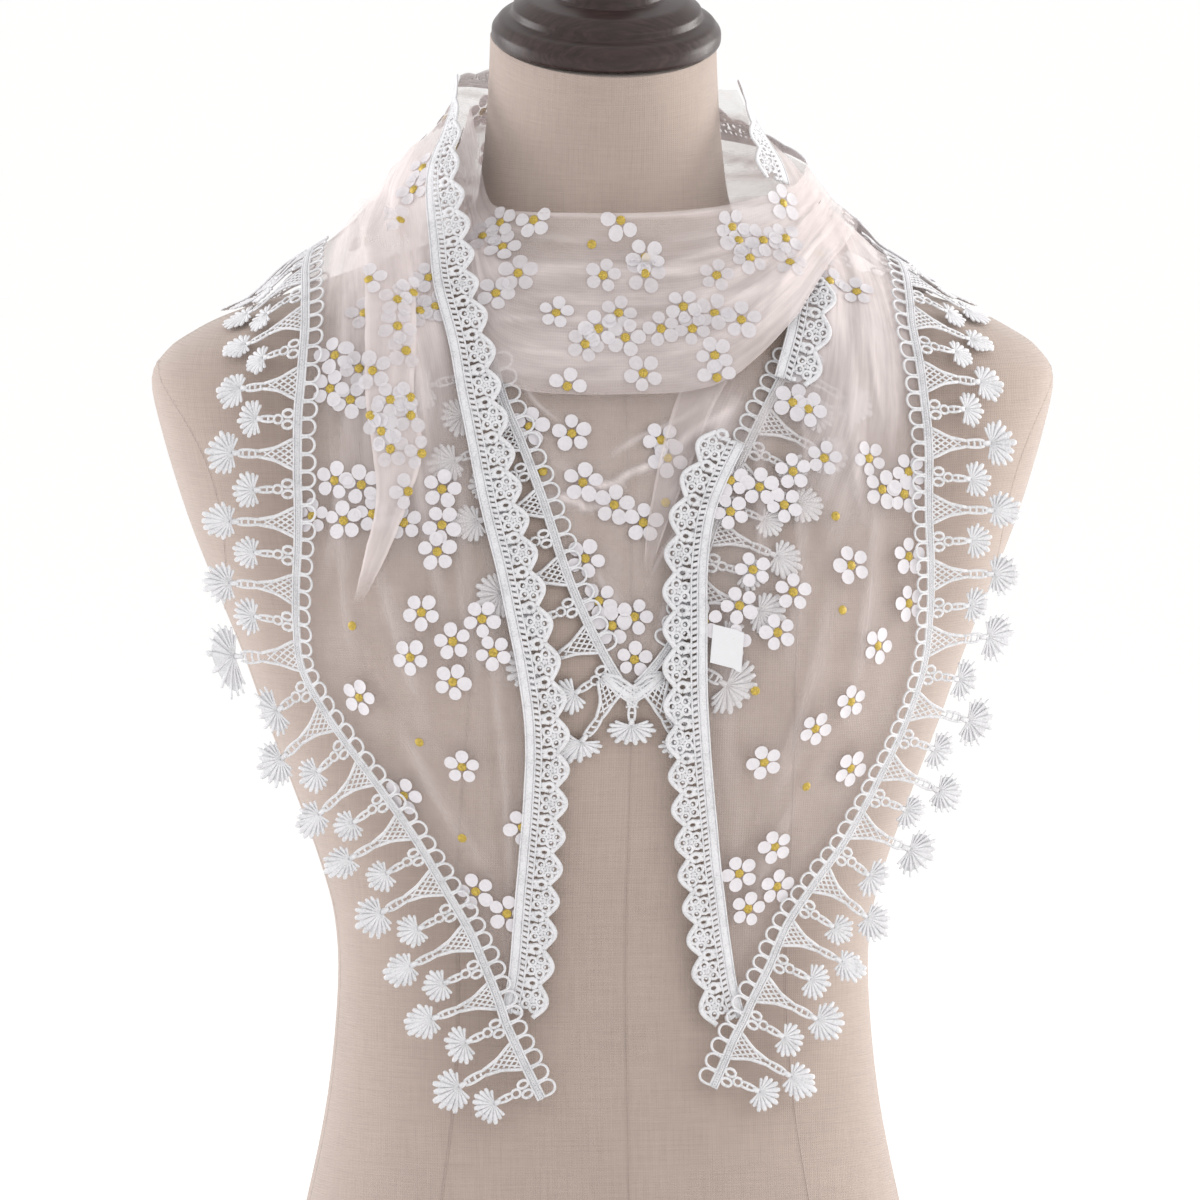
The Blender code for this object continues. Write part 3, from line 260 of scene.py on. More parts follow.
# The loose folds that fall from the gathers: left and right edge, as seen from the front
PleatRow = namedtuple("PleatRow", "up left right")
LEFT_PLEAT = table(
    PleatRow, (548, -98, -82), (520, -102, -82), (492, -105, -83), (470, -105, -84), (448, -102, -80), (425, -100, -86),
    (402, -104, -94), (382, -108, -104),
)
RIGHT_PLEAT = table(PleatRow, (490, 40, 62), (470, 32, 50), (450, 26, 42), (430, 22, 34), (412, 19, 27), (395, 18, 21))

# Height and closeness of both loose folds, their taper, hems, fading ends and ripple, and how far round each place
# they clear the cloth under them
LEFT_PLEAT_PEAK = 3.0 * MM
RIGHT_PLEAT_PEAK = 2.0 * MM
LEFT_PLEAT_CLOSE = 0.70
RIGHT_PLEAT_CLOSE = 0.26
PLEAT_TAPER = 0.7
PLEAT_HEM_CLOSE = 0.2
PLEAT_FADE_IN = 0.22
PLEAT_FADE_OUT = 0.12
PLEAT_RIPPLE = 0.22
PLEAT_TURN = 9
PLEAT_ALONG = 7 * MM
PLEAT_ASIDE = 2.5 * MM

# Gathers on the ends: place across the end, height, width, and the heights between which they rise
Gather = namedtuple("Gather", "across rise width top full low")
LEFT_GATHERS = table(
    Gather, (0.3, 4, 0.1, 600, 520, 430), (0.52, 4.5, 0.09, 600, 520, 400), (0.74, 3.5, 0.09, 585, 510, 445),
)
RIGHT_GATHERS = table(Gather, (0.5, 4.5, 0.09, 525, 480, 400), (0.74, 4, 0.08, 535, 490, 430))
GATHER_SHARE = 0.5

# Distances from an end's edges between which its gathers and creases rise
EDGE_CALM = 12 * MM
CALM_FROM = 0.7 * EDGE_CALM
CALM_TO = 1.9 * EDGE_CALM

# Fan lace: places of the two fans in a repeat, their sway, reach and opening, and the parts of the long fan
BIG_AT = 0.25
SMALL_AT = 0.75
FAN_SWAY = 2.0 * MM
SWAY_TURN = 2.3
SWAY_START = 0.7
FAN_REACH = 44 * MM
FAN_OPEN = math.radians(104)
FAN_BEND = math.radians(60)
BIG_ROOT_AT = 1.4 * MM
BIG_NECK_AT = 18 * MM
BIG_ROOT_HALF = 6.6 * MM

# Its header, the loops on the cloth's side, and how far from the V's point these stop
HEADER_HALF = 1.85 * MM
HEADER_STITCH = 2.4 * MM
LOOPS_PER_REPEAT = 4
LOOP_REACH = 9.2 * MM
BIB_POINT_BARE = 18 * MM

# How upright the fans stand at the shoulders, and how they come down to the form over their length
FAN_STAND = 0.35
FAN_REST = BIB_LACE_LIFT
FALL_FROM = 3 * MM
FALL_TO = 34 * MM

# Seam of the fans at the V's point, and how far its outer fans lean out
BIB_POINT = table(Point2, (-6, 349), (4, 347), (13, 346), (22, 347), (32, 349))
POINT_SWAY = 15 * MM
POINT_LIFT = 0.6 * MM

# Scalloped lace: how far it laps onto the cloth and reaches beyond it, and the bars of its rail
SCALLOP_LAP = 2.5 * MM
SCALLOP_PEAK = 17.5 * MM
BARS_PER_SCALLOP = 6

# How low it leans at the nape and at the shoulders, and over which length it rises again there
NAPE_LOW = 0.22
CREST_LOW = 0.25
CREST_LEAN = 75 * MM

# Where the right end's scalloped lace turns over, and where the other lace climbs over it near the tips
TURN_LOW = 470
TURN_HIGH = 530
NAPE_FROM = 560
TIP_LIFT_FROM = 238
TIP_LIFT_EASE = 18

# Label: its corners, how it leans and hangs across, and how far it curls
LABEL_LOW = Point2(47.5, 355)
LABEL_HIGH = Point2(61, 371)
LABEL_LEAN = 1.4
LABEL_HANG = 3.4
LABEL_CURL = 1.6 * MM
LABEL_STAND = 0.3 * MM
LABEL_ROWS = 9

# Rows and columns of the finished cloth, and how finely the form and the laces' beds are laid out
BASE_TIMES = 4
FORM_SEGMENTS = 120
END_ROWS = 150
END_COLUMNS = 44
CREST_ROWS = 10
BAND_STATIONS = 76
BAND_COLUMNS = 48
BAND_LAST_STEPS = 14
BAND_FIRST_STEPS = 8
BIB_ROWS = 120
BIB_COLUMNS = 100
BACK_STATIONS = 96
BACK_ROWS = 40
PLEAT_ROWS = 64
PLEAT_COLUMNS = 17
CAP_SEGMENTS = 96
CAP_STEP = 0.8
FRONT_PATH_STEPS = 160
BACK_PATH_STEPS = 120
EDGE_STEP = 2.5 * MM
BED_STEP = 2.0 * MM
BED_OVER = 4.0 * MM

# Creases: their height, how far and how often they waver, how they fade at their ends, and how sharp a fold they make
CREASE_SHARE = 0.8
CREASE_BEND = 1.6
CREASE_WAVES = 1.2
CREASE_MORE_WAVES = 0.3
CREASE_FADE = 0.08
CREASE_PAST = 3.0
CREASE_END = 4.0
FULL_FOLD = 1.6
FOLD_HALF = 0.5

# How far a fold makes the cloth whiter, and the degrees over which the back takes over the front's gathers
FOLD_SHARE = 0.55
BIB_FOLD_SHARE = 0.95
CREST_REACH = (14.0, 42.0)

# The band's part hidden by the left end, and how its folds flatten toward the right shoulder
BAND_START_CLOSE = 0.6
BAND_FALL = 0.5
BAND_END_STEP = 0.1

# Shapes inside the laces, in millimetres: place over the edge, half width and rise of each rail; half widths of both
# stems; the long fan's lattice; a shell fan's web and fingers, as shares; the seam at the V's point; the rosettes
HEADER_RAILS = ((0.0, 1.6, 0.25), (-1.7, 0.5, 0.55), (1.7, 0.5, 0.55))
TAPE_RAILS = ((-0.2, 2.0, 0.30), (-2.2, 0.4, 0.5), (1.9, 0.4, 0.5), (4.7, 0.45, 0.5))
STEM_HALVES = (1.0, 1.3, 1.5, 1.6, 1.5, 1.0)
SMALL_STEM = ((0.9, 10.8), (1.2, 13.0), (1.2, 15.0), (0.8, 17.6))
LATTICE_THREADS = 7
LATTICE_STEP = 2.5 * MM
LATTICE_SLOPE = 0.62
WEB_SHARE = 0.82
FINGER_SHARES = (0.06, 0.35, 0.66, 0.88, 1.0)
FINGER_HALVES = (0.14, 0.46, 0.84, 0.94, 0.56)
POINT_SEAM = ((0.36, -2.5), (0.18, 3.0), (-0.06, 9.0))
ROSETTE_AT = 10.3 * MM
ROSETTE_REACH = 3.5 * MM
ROSETTE_PETALS = 5
RIM_AT = 11.7 * MM
RIM_RISE = 4.9 * MM

# Rounded section of a thread: shares of its half width aside and of its rise out of the lace
THREAD_SECTION = ((1.0, 0.0), (0.55, 1.0), (-0.55, 1.0), (-1.0, 0.0), (-0.6, -0.6), (0.6, -0.6))

# Scale of the wave texture at which its waves stand a metre apart
WAVE_SCALE = TURN / 20

# Seams of the linen cover: half width, height and section; the lines over the bust and the shoulder blades, across
# and up; the side seams and the armholes
SEAM_HALF = 1.1 * MM
SEAM_RISE = 0.22 * MM
SEAM_STEPS = 80
WELT = ((1.0, None), (0.5, 0.9), (0.12, 1.0), (0.0, 0.25), (-0.12, 0.7), (-1.0, None))
WELT_FOOT = -0.05 * MM
FRONT_SEAM = (
    (97, 4), (92, 60), (84, 112), (77, 160), (74, 209), (75, 265), (74, 328), (73, 362), (77, 410), (84, 450),
    (92, 486), (97, 505),
)
BACK_SEAM = (
    (92, 4), (86, 60), (76, 112), (66, 160), (60, 209), (64, 293), (72, 360), (80, 423), (90, 480), (98, 508),
)
SIDE_SEAM_Y = -4 * MM
ARMHOLE_Y = 8 * MM
ARMHOLE_UP = 436 * MM
ARMHOLE_RADIUS = 56 * MM
ARMHOLE_STEPS = 48

# Each stretch as it was cut: width and length, how it is held, its flat area and what it rests on
Cut = namedtuple("Cut", "size held area rests_on", defaults=(None, "torso_cover"))

# Stage: floor, light and the camera of the front view, in metres; its aim in millimetres as seen
FLOOR_REACH = 40.0
FLOOR_SIDES = 64
WORLD_LIGHT = 1.06
WORLD_COLOUR = (1.0, 0.998, 0.995)
FORM_MIDDLE = (0.0, 0.0, 0.35)
SENSOR = 36.0
VIEW_FAR = 10.0
VIEW_FRAME = 0.54
VIEW_PLANE = 0.07
VIEW_AIM = Point2(-1.35, 382.5)
Lamp = namedtuple("Lamp", "name place size power colour")
LAMPS = [
    Lamp("left_rim", (-2.1, 0.75, 0.8), 1.4, 30.0, (1.0, 0.985, 0.99)),
    Lamp("right_rim", (2.1, 0.6, 0.8), 1.4, 42.0, (1.0, 0.98, 0.95)),
    Lamp("front_right", (1.8, -1.8, 1.2), 1.6, 8.0, (1.0, 0.97, 0.93)),
]

# Flowers: petals of each and how far out these lie, points round a petal and a dot, and how far gathered cloth veils
DAISY_PETALS = 5
PETAL_AWAY = 1.88
PETAL_SIDES = 12
DOT_SIDES = 8
VEILED = 0.60


def smooth_step(start, end, value):
    """0 at start, 1 at end, with an even ease between, whichever is larger."""
    share = min(1.0, max(0.0, (value - start) / (end - start)))
    return share * share * (3.0 - 2.0 * share)


def ring_point(ring, angle):
    """A point of a ring, with the bust's two low mounds and the tilt of the neck."""
    across, deep = math.cos(angle), math.sin(angle)
    x = ring.half * MM * math.copysign(abs(across) ** (2.0 / ring.square), across)
    depth = -ring.front if deep < 0 else ring.back
    y = depth * MM * math.copysign(abs(deep) ** (2.0 / ring.square), deep)
    z = ring.z * MM
    if deep < 0:
        for side in (-1, 1):
            away = ((x - side * BUST_ACROSS) ** 2 + (z - BUST_HEIGHT) ** 2) / (2 * BUST_SPREAD**2)
            y -= BUST_RISE * math.exp(-away) * min(1.0, -deep / BUST_FULL_AT)
    tilt = NECK_TILT * smooth_step(TILT_START, NECK_TOP, z)
    middle = (ring.front + ring.back) / 2 * MM
    return Vector((x, y, z + (y - middle) * math.sin(tilt)))


def spline(points, count):
    """Points at even steps along a curve through the given ones, which are vectors or rows of numbers."""
    rows = [(point,) if isinstance(point, (int, float)) else point for point in points]
    size = len(rows[0])
    result = []
    for step in range(count):
        place = step / (count - 1) * (len(rows) - 1)
        index = min(int(place), len(rows) - 2)
        share = place - index
        near, far = rows[index], rows[index + 1]
        before = rows[max(index - 1, 0)]
        after = rows[min(index + 2, len(rows) - 1)]
        values = []
        for column in range(size):
            slope_near = (far[column] - before[column]) / 2
            slope_far = (after[column] - near[column]) / 2
            values.append(
                (2 * share**3 - 3 * share**2 + 1) * near[column]
                + (share**3 - 2 * share**2 + share) * slope_near
                + (3 * share**2 - 2 * share**3) * far[column]
                + (share**3 - share**2) * slope_far
            )
        result.append(values)
    return result


def finer(rings):
    """Rings at more heights, on smooth curves through the given ones."""
    return [Ring(*values) for values in spline(rings, (len(rings) - 1) * BASE_TIMES + 1)]


def strips(rows, columns, closed=False, start=0):
    """Faces between rows of points, which may close to rings."""
    faces = []
    for low in range(start, start + (rows - 1) * columns, columns):
        for step in range(columns if closed else columns - 1):
            after = (step + 1) % columns
            faces.append((low + step, low + after, low + columns + after, low + columns + step))
    return faces


def end_faces(first, last, sides):
    """The two end faces of a closed body, from where its first and its last ring start."""
    return [tuple(range(first + sides - 1, first - 1, -1)), tuple(range(last, last + sides))]


def base_surface(rings):
    """A search tree of the smooth body through rings."""
    rings = finer(rings)
    points = [ring_point(ring, TURN * step / FORM_SEGMENTS) for ring in rings for step in range(FORM_SEGMENTS)]
    faces = strips(len(rings), FORM_SEGMENTS, True) + end_faces(0, len(points) - FORM_SEGMENTS, FORM_SEGMENTS)
    return BVHTree.FromPolygons(points, faces)


FORM = base_surface(FORM_RINGS)
BRIDGE = base_surface([ring for ring in FORM_RINGS if ring.z < BRIDGE_START] + BRIDGE_RINGS)


def off_surface(point, base):
    """The nearest point of a base surface, the way out of it there, and the distance out."""
    hit, normal, _, distance = base.find_nearest(point)
    away = point - hit
    if away.dot(normal) < 0:
        return hit, normal, -distance
    if distance < TOUCHING:
        return hit, normal, distance
    return hit, away.normalized(), distance


def seat(point, lift, base):
    """The point moved to a given height over a base surface."""
    hit, out, _ = off_surface(point, base)
    return hit + out * lift


def in_view(across, up):
    """A place in millimetres as seen from the front, on the plane of the view through the origin."""
    return VIEW_RIGHT * across * MM + VIEW_UP * up * MM


def seen(across, up, base):
    """The point of a base surface that the front view shows at a place in millimetres."""
    place = in_view(across, up)
    hit = base.ray_cast(place - VIEW_AHEAD, VIEW_AHEAD)[0]
    if hit:
        return hit
    beside = place - VIEW_AHEAD * (place.y - SHOULDER_LINE_Y) / VIEW_AHEAD.y
    return base.find_nearest(beside)[0]


def outward(degrees):
    """The level way out from the neck at an angle from the viewer's right."""
    angle = math.radians(degrees)
    return Vector((math.cos(angle), math.sin(angle), 0.0))


def around(degrees, up, base):
    """The point of a base surface at an angle round the neck from the right shoulder, at a height."""
    out = outward(degrees)
    return base.ray_cast(Vector((0.0, SHOULDER_LINE_Y, up * MM)) + out, -out)[0]


def cover_height(foot, out, height, covers, along, aside):
    """The height over a foot point that clears the pieces already laid there and close beside it."""
    for step_along in (-1, 0, 1):
        for step_aside in (-1, 0, 1):
            start = foot + along * step_along + aside * step_aside
            for cover in covers:
                hit = cover.ray_cast(start + out * COVER_REACH, -out, COVER_REACH)[0]
                if hit:
                    height = max(height, (hit - start).dot(out) + LAYER_GAP)
    return height


def gather_rise(gathers, across, up):
    """How far the gathers lift the cloth at a share of the way across it, at a height in millimetres."""
    rise = 0.0
    for gather in gathers:
        hump = math.exp(-(((across - gather.across) / gather.width) ** 2))
        below = smooth_step(gather.low, gather.full, up)
        above = smooth_step(gather.top, gather.full, up)
        rise += gather.rise * MM * hump * min(below, above)
    return rise


def left_lift(up):
    """Height of the left end over the form: high over the band, low further down."""
    return LOW_LIFT + (HIGH_LIFT - LOW_LIFT) * smooth_step(CLIMB_FROM, CLIMB_TO, up)


def right_lift(up):
    """Height of the right end over the form, which lies under the band's end."""
    return LOW_LIFT


def crest_ups(crest, count):
    """Heights at even steps over the shoulder line, from a stretch's top edge to its low edge."""
    return [up for (up,) in spline(crest, count)]


def crest_row(crest, degrees, count, gap=0.0):
    """Points of the bridge along the shoulder line, a little in front of it or behind."""
    points = [around(degrees, up, BRIDGE) for up in crest_ups(crest, count)]
    for point in points:
        point.y += gap
    return points


def between(near, far, share):
    """A row of points between two rows, brought back to the bridge."""
    return [BRIDGE.find_nearest(a.lerp(b, share))[0] for a, b in zip(near, far)]


def crossing(start, end, shares):
    """Places across and up at shares of the way from one place to another."""
    return [(start[0] + (end[0] - start[0]) * share, start[1] + (end[1] - start[1]) * share) for share in shares]


def run_lengths(points):
    """How far along a line each of its points lies."""
    lengths = [0.0]
    for near, far in zip(points, points[1:]):
        lengths.append(lengths[-1] + (far - near).length)
    return lengths


def back_point(degrees, up, lift, hugging):
    """A point of a stretch behind, which may hug the neck toward the viewer's left."""
    loose = seat(around(degrees, up, BRIDGE), lift, BRIDGE)
    if not hugging:
        return loose
    close = seat(around(degrees, up, FORM), lift, FORM)
    return loose.lerp(close, HUG_SHARE * smooth_step(HUG_FROM, HUG_TO, degrees))


class Edge:
    """A seated edge of the cloth that a lace follows: places, the way out over the edge, and heights."""

    def __init__(self, points, base, lift, side, covers, stand=1.0, stiff=None):
        self.base = base
        self.covers = covers
        self.stiff = stiff or (lambda up: 0.0)
        self.points = self.even([Vector(point) for point in points], EDGE_STEP)
        self.heights = [lift(point) for point in self.points]
        self.points = [seat(point, height, base) for point, height in zip(self.points, self.heights)]
        self.points = self.softened(self.points, 3)
        self.outs = []
        last = len(self.points) - 1
        for index, point in enumerate(self.points):
            along = self.points[min(index + 2, last)] - self.points[max(index - 2, 0)]
            _, normal, _ = off_surface(point, base)
            out = along.normalized().cross(normal) * side
            if out.y > 0:
                out.y *= stand
            if abs(point.y - SHOULDER_LINE_Y) < CREST_CALM:
                out.y = 0.0
            self.outs.append(out.normalized())
        self.outs = [out.normalized() for out in self.softened(self.outs, 8)]
        self.length = (len(self.points) - 1) * self.step

    def even(self, points, step):
        """The same line with its points at one even step."""
        lengths = run_lengths(points)
        count = max(2, round(lengths[-1] / step))
        self.step = lengths[-1] / count
        result = []
        index = 0
        for number in range(count + 1):
            place = min(number * self.step, lengths[-1])
            while index < len(points) - 2 and lengths[index + 1] < place:
                index += 1
            span = lengths[index + 1] - lengths[index]
            share = (place - lengths[index]) / span if span > 0 else 0.0
            result.append(points[index].lerp(points[index + 1], min(1.0, share)))
        return result

    def softened(self, vectors, rounds):
        """The vectors, each moved toward the mean of its neighbours, with the ends kept."""
        for _ in range(rounds):
            inner = [(a + b * 2 + c) / 4 for a, b, c in zip(vectors, vectors[1:], vectors[2:])]
            vectors = [vectors[0]] + inner + [vectors[-1]]
        return vectors

    def place(self, along, out, fans):
        """Foot, way out and height of a lace's point at a distance along the edge and out over it."""
        index = min(max(int(along / self.step), 0), len(self.points) - 2)
        share = along / self.step - index
        origin = self.points[index].lerp(self.points[index + 1], share)
        way = self.outs[index].lerp(self.outs[index + 1], share).normalized()
        height = self.heights[index] + (self.heights[index + 1] - self.heights[index]) * share
        if fans:
            height -= max(0.0, height - FAN_REST) * smooth_step(FALL_FROM, FALL_TO, out)
        point = origin + way * out
        hit, normal, distance = off_surface(point, self.base)
        rise = max(0.0, distance - height) if out > HEADER_HALF else 0.0
        rest = height + rise * self.stiff(point.dot(VIEW_UP) / MM)
        ahead = (self.points[index + 1] - self.points[index]).normalized() * COVER_ALONG
        rest = cover_height(hit, normal, rest, self.covers, ahead, way * COVER_ASIDE)
        return hit, normal, rest


def lace_lift(base_lift, tip_from=None):
    """Height rule of a lace over the form, higher near a tip where it crosses the other lace."""

    def rule(point):
        up = point.dot(VIEW_UP) / MM
        lift = base_lift(up) + LACE_STEP
        if tip_from is not None:
            lift += TIP_STEP * smooth_step(tip_from, tip_from - TIP_LIFT_EASE, up)
        return lift

    return rule


def front_path(places, base):
    """Points on a base surface under a line of places in the front view."""
    return [seen(place[0], place[1], base) for place in spline(places, FRONT_PATH_STEPS)]


def from_shoulder(points, degrees, up, gap):
    """The points, led off by one on the shoulder line."""
    first = around(degrees, up, BRIDGE)
    first.y += gap
    return [first] + points


def fan_stiffness(up):
    """How far the fans keep straight instead of lying on the form: not at all on the shoulders."""
    return smooth_step(STIFF_FROM, STIFF_TO, up)


def back_path(rows, column, crest, last_degrees):
    """Points of the bridge along an edge behind, from the right shoulder to the left or part of the way."""
    points = from_shoulder([], 0, crest, CREST_GAP)
    for row in spline(rows, BACK_PATH_STEPS):
        row = BackRow(*row)
        if row.degrees <= last_degrees:
            points.append(around(row.degrees, row[column], BRIDGE))
    return points


# Creases of the cloth: a line from place to place, how far each flank spreads, and how high the crease stands.
# In front the places are across and up as seen; behind they are degrees round the neck and height.
Crease = namedtuple("Crease", "from_across from_up to_across to_up sharp soft rise")

# Soft places where the cloth is gathered close: middle, reach across and up, and how close
Cloud = namedtuple("Cloud", "across up wide tall share")

LEFT_END_CREASES = table(
    Crease, (-92, 592, -104, 452, 3, 6, 2.6), (-84, 600, -86, 432, 2.4, 5, 2.8), (-78, 596, -75, 470, 2, 4.5, 2.2),
    (-101, 570, -118, 482, 3, 6.5, 2), (-108, 548, -127, 505, 3, 6, 1.3), (-72, 560, -66, 488, 2.2, 4, 1.2),
    (-97, 540, -93, 400, 2, 5.5, 1.6), (-89, 470, -72, 372, 3, 8, 1.1), (-112, 500, -121, 390, 4, 9, 0.9),
    (-104, 408, -76, 318, 5, 10, 0.8), (-124, 470, -108, 350, 4, 8, 0.7), (-66, 440, -56, 340, 4, 8, 0.8),
    (-90, 330, -52, 262, 4, 8, 0.6), (-50, 400, -42, 250, 3, 7, 0.5),
)
LEFT_END_CLOUDS = table(
    Cloud, (-84, 560, 21, 50, 0.95), (-90, 505, 20, 46, 0.96), (-90, 452, 15, 34, 0.78), (-112, 520, 14, 26, 0.45),
)
RIGHT_END_CREASES = table(
    Crease, (88, 580, 108, 466, 2.6, 6, 2.4), (96, 572, 122, 488, 2.6, 6, 2.2), (80, 560, 92, 430, 2.2, 5, 1.8),
    (106, 556, 134, 500, 3, 6, 1.5), (104, 500, 115, 416, 1.4, 5, 2.2), (110, 510, 110, 425, 2, 6, 1.1),
    (118, 506, 125, 455, 1.6, 4, 1.6), (72, 470, 66, 384, 3, 8, 0.9), (88, 440, 82, 352, 4, 8, 0.9),
    (122, 440, 106, 330, 4, 9, 0.8), (98, 384, 74, 286, 4, 9, 0.7), (58, 404, 54, 290, 3, 8, 0.5),
    (84, 300, 62, 236, 4, 7, 0.5),
)
RIGHT_END_CLOUDS = table(
    Cloud, (92, 556, 20, 38, 0.96), (98, 512, 19, 40, 0.94), (122, 506, 17, 26, 0.8), (106, 450, 12, 36, 0.62),
    (126, 474, 9, 34, 0.62),
)
BAND_CREASES = table(
    Crease, (-48, 555, 84, 557, 1.6, 2.4, 1), (-50, 531, 30, 527, 1.8, 3.4, 1.3), (10, 526, 88, 545, 1.8, 3.4, 1.4),
    (-52, 505, 28, 501, 1.8, 4, 1.4), (8, 500, 90, 526, 1.8, 4, 1.6), (-46, 547, 10, 541, 2, 4, 0.7),
    (22, 540, 90, 556, 2, 4, 0.9), (-54, 518, -8, 512, 2, 4.5, 0.8), (34, 512, 92, 538, 2, 5, 1.2),
    (-54, 492, 0, 486, 2, 5, 0.9), (20, 484, 84, 508, 2, 5, 1.2), (-44, 482, 12, 478, 2, 4, 0.6),
    (90, 545, 70, 500, 2, 4.5, 1.4), (84, 548, 58, 490, 2, 5, 1.2), (76, 552, 50, 520, 2, 5, 0.8),
)
BAND_CLOUDS = table(
    Cloud, (-40, 527, 30, 3, 0.45), (20, 528, 46, 3.2, 0.45), (0, 555, 60, 1.6, 0.45), (6, 489, 66, 14, 0.62),
    (62, 520, 24, 34, 0.72), (84, 530, 15, 34, 0.9), (-56, 540, 11, 36, 0.88), (0, 514, 60, 10, 0.3),
    (10, 520, 80, 45, 0.34),
)
BIB_CREASES = table(
    Crease, (-36, 480, -20, 461, 2.4, 2.4, 1), (-42, 470, -30, 445, 1, 2.4, 0.8), (-26, 428, -4, 423, 2.8, 3.4, 1.3),
    (-7, 423, 19, 422, 2.8, 3.4, 1.3), (44, 471, 3, 445, 2.6, 3, 1.1), (58, 470, 22, 441, 3.2, 4.6, 1.7),
    (27, 444, 2, 433, 3, 4.2, 1.7), (6, 433, -25, 429, 2.8, 3.6, 1.4), (58, 470, 30, 428, 2, 5, 1.2),
    (64, 452, 34, 416, 2, 5, 1), (46, 440, 22, 392, 1.2, 3.4, 1.3), (-20, 440, 8, 431, 2, 5, 0.7),
    (-8, 400, 16, 372, 3, 6, 0.5), (34, 392, 20, 360, 2, 5, 0.6),
)
BIB_CLOUDS = table(
    Cloud, (52, 458, 16, 22, 0.6), (30, 430, 8, 14, 0.28), (-8, 427, 18, 3.5, 0.4), (5, 400, 70, 70, 0.12),
    (-22, 445, 8, 18, 0.1),
)
BACK_OVER_CREASES = table(
    Crease, (0, 572, 62, 566, 2.4, 5, 1.8), (6, 560, 88, 544, 2.4, 5, 2.2), (0, 550, 70, 520, 2.4, 5, 1.8),
    (70, 590, 150, 596, 2.4, 5, 1.6), (58, 574, 138, 566, 2.4, 6, 2.4), (84, 556, 176, 578, 2.4, 6, 2.2),
    (60, 528, 128, 532, 2.4, 5, 1.8), (96, 514, 172, 556, 2.4, 6, 2), (126, 604, 180, 606, 2, 4, 1.4),
    (138, 548, 180, 566, 2.4, 5, 2), (20, 536, 54, 530, 2, 4, 1.3),
)
BACK_OVER_CLOUDS = table(Cloud, (10, 560, 26, 30, 0.25), (90, 548, 60, 20, 0.28), (168, 575, 30, 34, 0.5))
BACK_UNDER_CREASES = table(
    Crease, (0, 596, 74, 600, 2.4, 5, 1.6), (0, 574, 90, 582, 2.4, 5, 1.8), (4, 548, 80, 540, 2.4, 5, 1.6),
    (70, 592, 176, 590, 2.4, 5, 1.6), (88, 560, 180, 574, 2.4, 5, 1.4),
)
BACK_UNDER_CLOUDS = table(Cloud, (12, 570, 28, 34, 0.2), (160, 585, 34, 20, 0.5))


def crease_lines(creases, across, up):
    """How far the creases lift the cloth at places given as arrays, and how sharply it is folded there."""
    rise = np.zeros_like(across)
    fold = np.zeros_like(across)
    for number, crease in enumerate(creases):
        run = np.array((crease.to_across - crease.from_across, crease.to_up - crease.from_up), dtype=float)
        size = math.hypot(*run)
        run /= size
        along = (across - crease.from_across) * run[0] + (up - crease.from_up) * run[1]
        aside = (up - crease.from_up) * run[0] - (across - crease.from_across) * run[1]
        waves = CREASE_WAVES + CREASE_MORE_WAVES * (number % 3)
        aside = aside + CREASE_BEND * np.sin(along / size * math.pi * waves + number)
        width = np.where(aside < 0, crease.sharp, crease.soft)
        share = np.clip(along / size, 0.0, 1.0)
        taper = np.sin(math.pi * np.clip(share * 0.9 + CREASE_FADE, 0.0, 1.0)) ** 0.8
        past = np.maximum(np.maximum(-along, along - size), 0.0)
        line = np.exp(-((aside / width) ** 2)) * taper * np.exp(-((past / CREASE_PAST) ** 2))
        rise += crease.rise * MM * line
        sharp = min(1.0, crease.rise / FULL_FOLD)
        fold += sharp * np.exp(-((aside / (FOLD_HALF * width)) ** 2)) * taper * (past < CREASE_END)
    return rise * CREASE_SHARE, np.clip(fold, 0.0, 1.0)


def cloud_share(clouds, across, up):
    """How closely the cloth is gathered at places given as arrays."""
    open_share = np.ones_like(across, dtype=float)
    for cloud in clouds:
        away = ((across - cloud.across) / cloud.wide) ** 2 + ((up - cloud.up) / cloud.tall) ** 2
        open_share *= 1.0 - cloud.share * np.exp(-away)
    return 1.0 - open_share


def closeness(cloud, fold, share=FOLD_SHARE):
    """How close the cloth is where it is both gathered and folded."""
    return 1.0 - (1.0 - cloud) * (1.0 - share * fold)


def placed(name, data):
    """A new object in the scene with its data."""
    item = bpy.data.objects.new(name, data)
    bpy.context.scene.collection.objects.link(item)
    return item


def mesh_object(name, points, faces, material, smooth=True):
    """A named object with one mesh."""
    mesh = bpy.data.meshes.new(name)
    mesh.from_pydata([tuple(point) for point in points], [], faces)
    mesh.materials.append(material)
    if smooth:
        mesh.shade_smooth()
    mesh.update()
    return placed(name, mesh)


def set_uv(mesh, places):
    """A UV map in metres, from one place for each vertex."""
    layer = mesh.uv_layers.new(name="flat")
    corners = np.empty(len(mesh.loops), dtype=np.int32)
    mesh.loops.foreach_get("vertex_index", corners)
    layer.data.foreach_set("uv", np.asarray(places, dtype=np.float32)[corners].ravel())


def set_values(mesh, name, values):
    """A named number for each vertex, which a material reads."""
    store = mesh.attributes.new(name, "FLOAT", "POINT")
    store.data.foreach_set("value", np.asarray(values, dtype=np.float32).ravel())


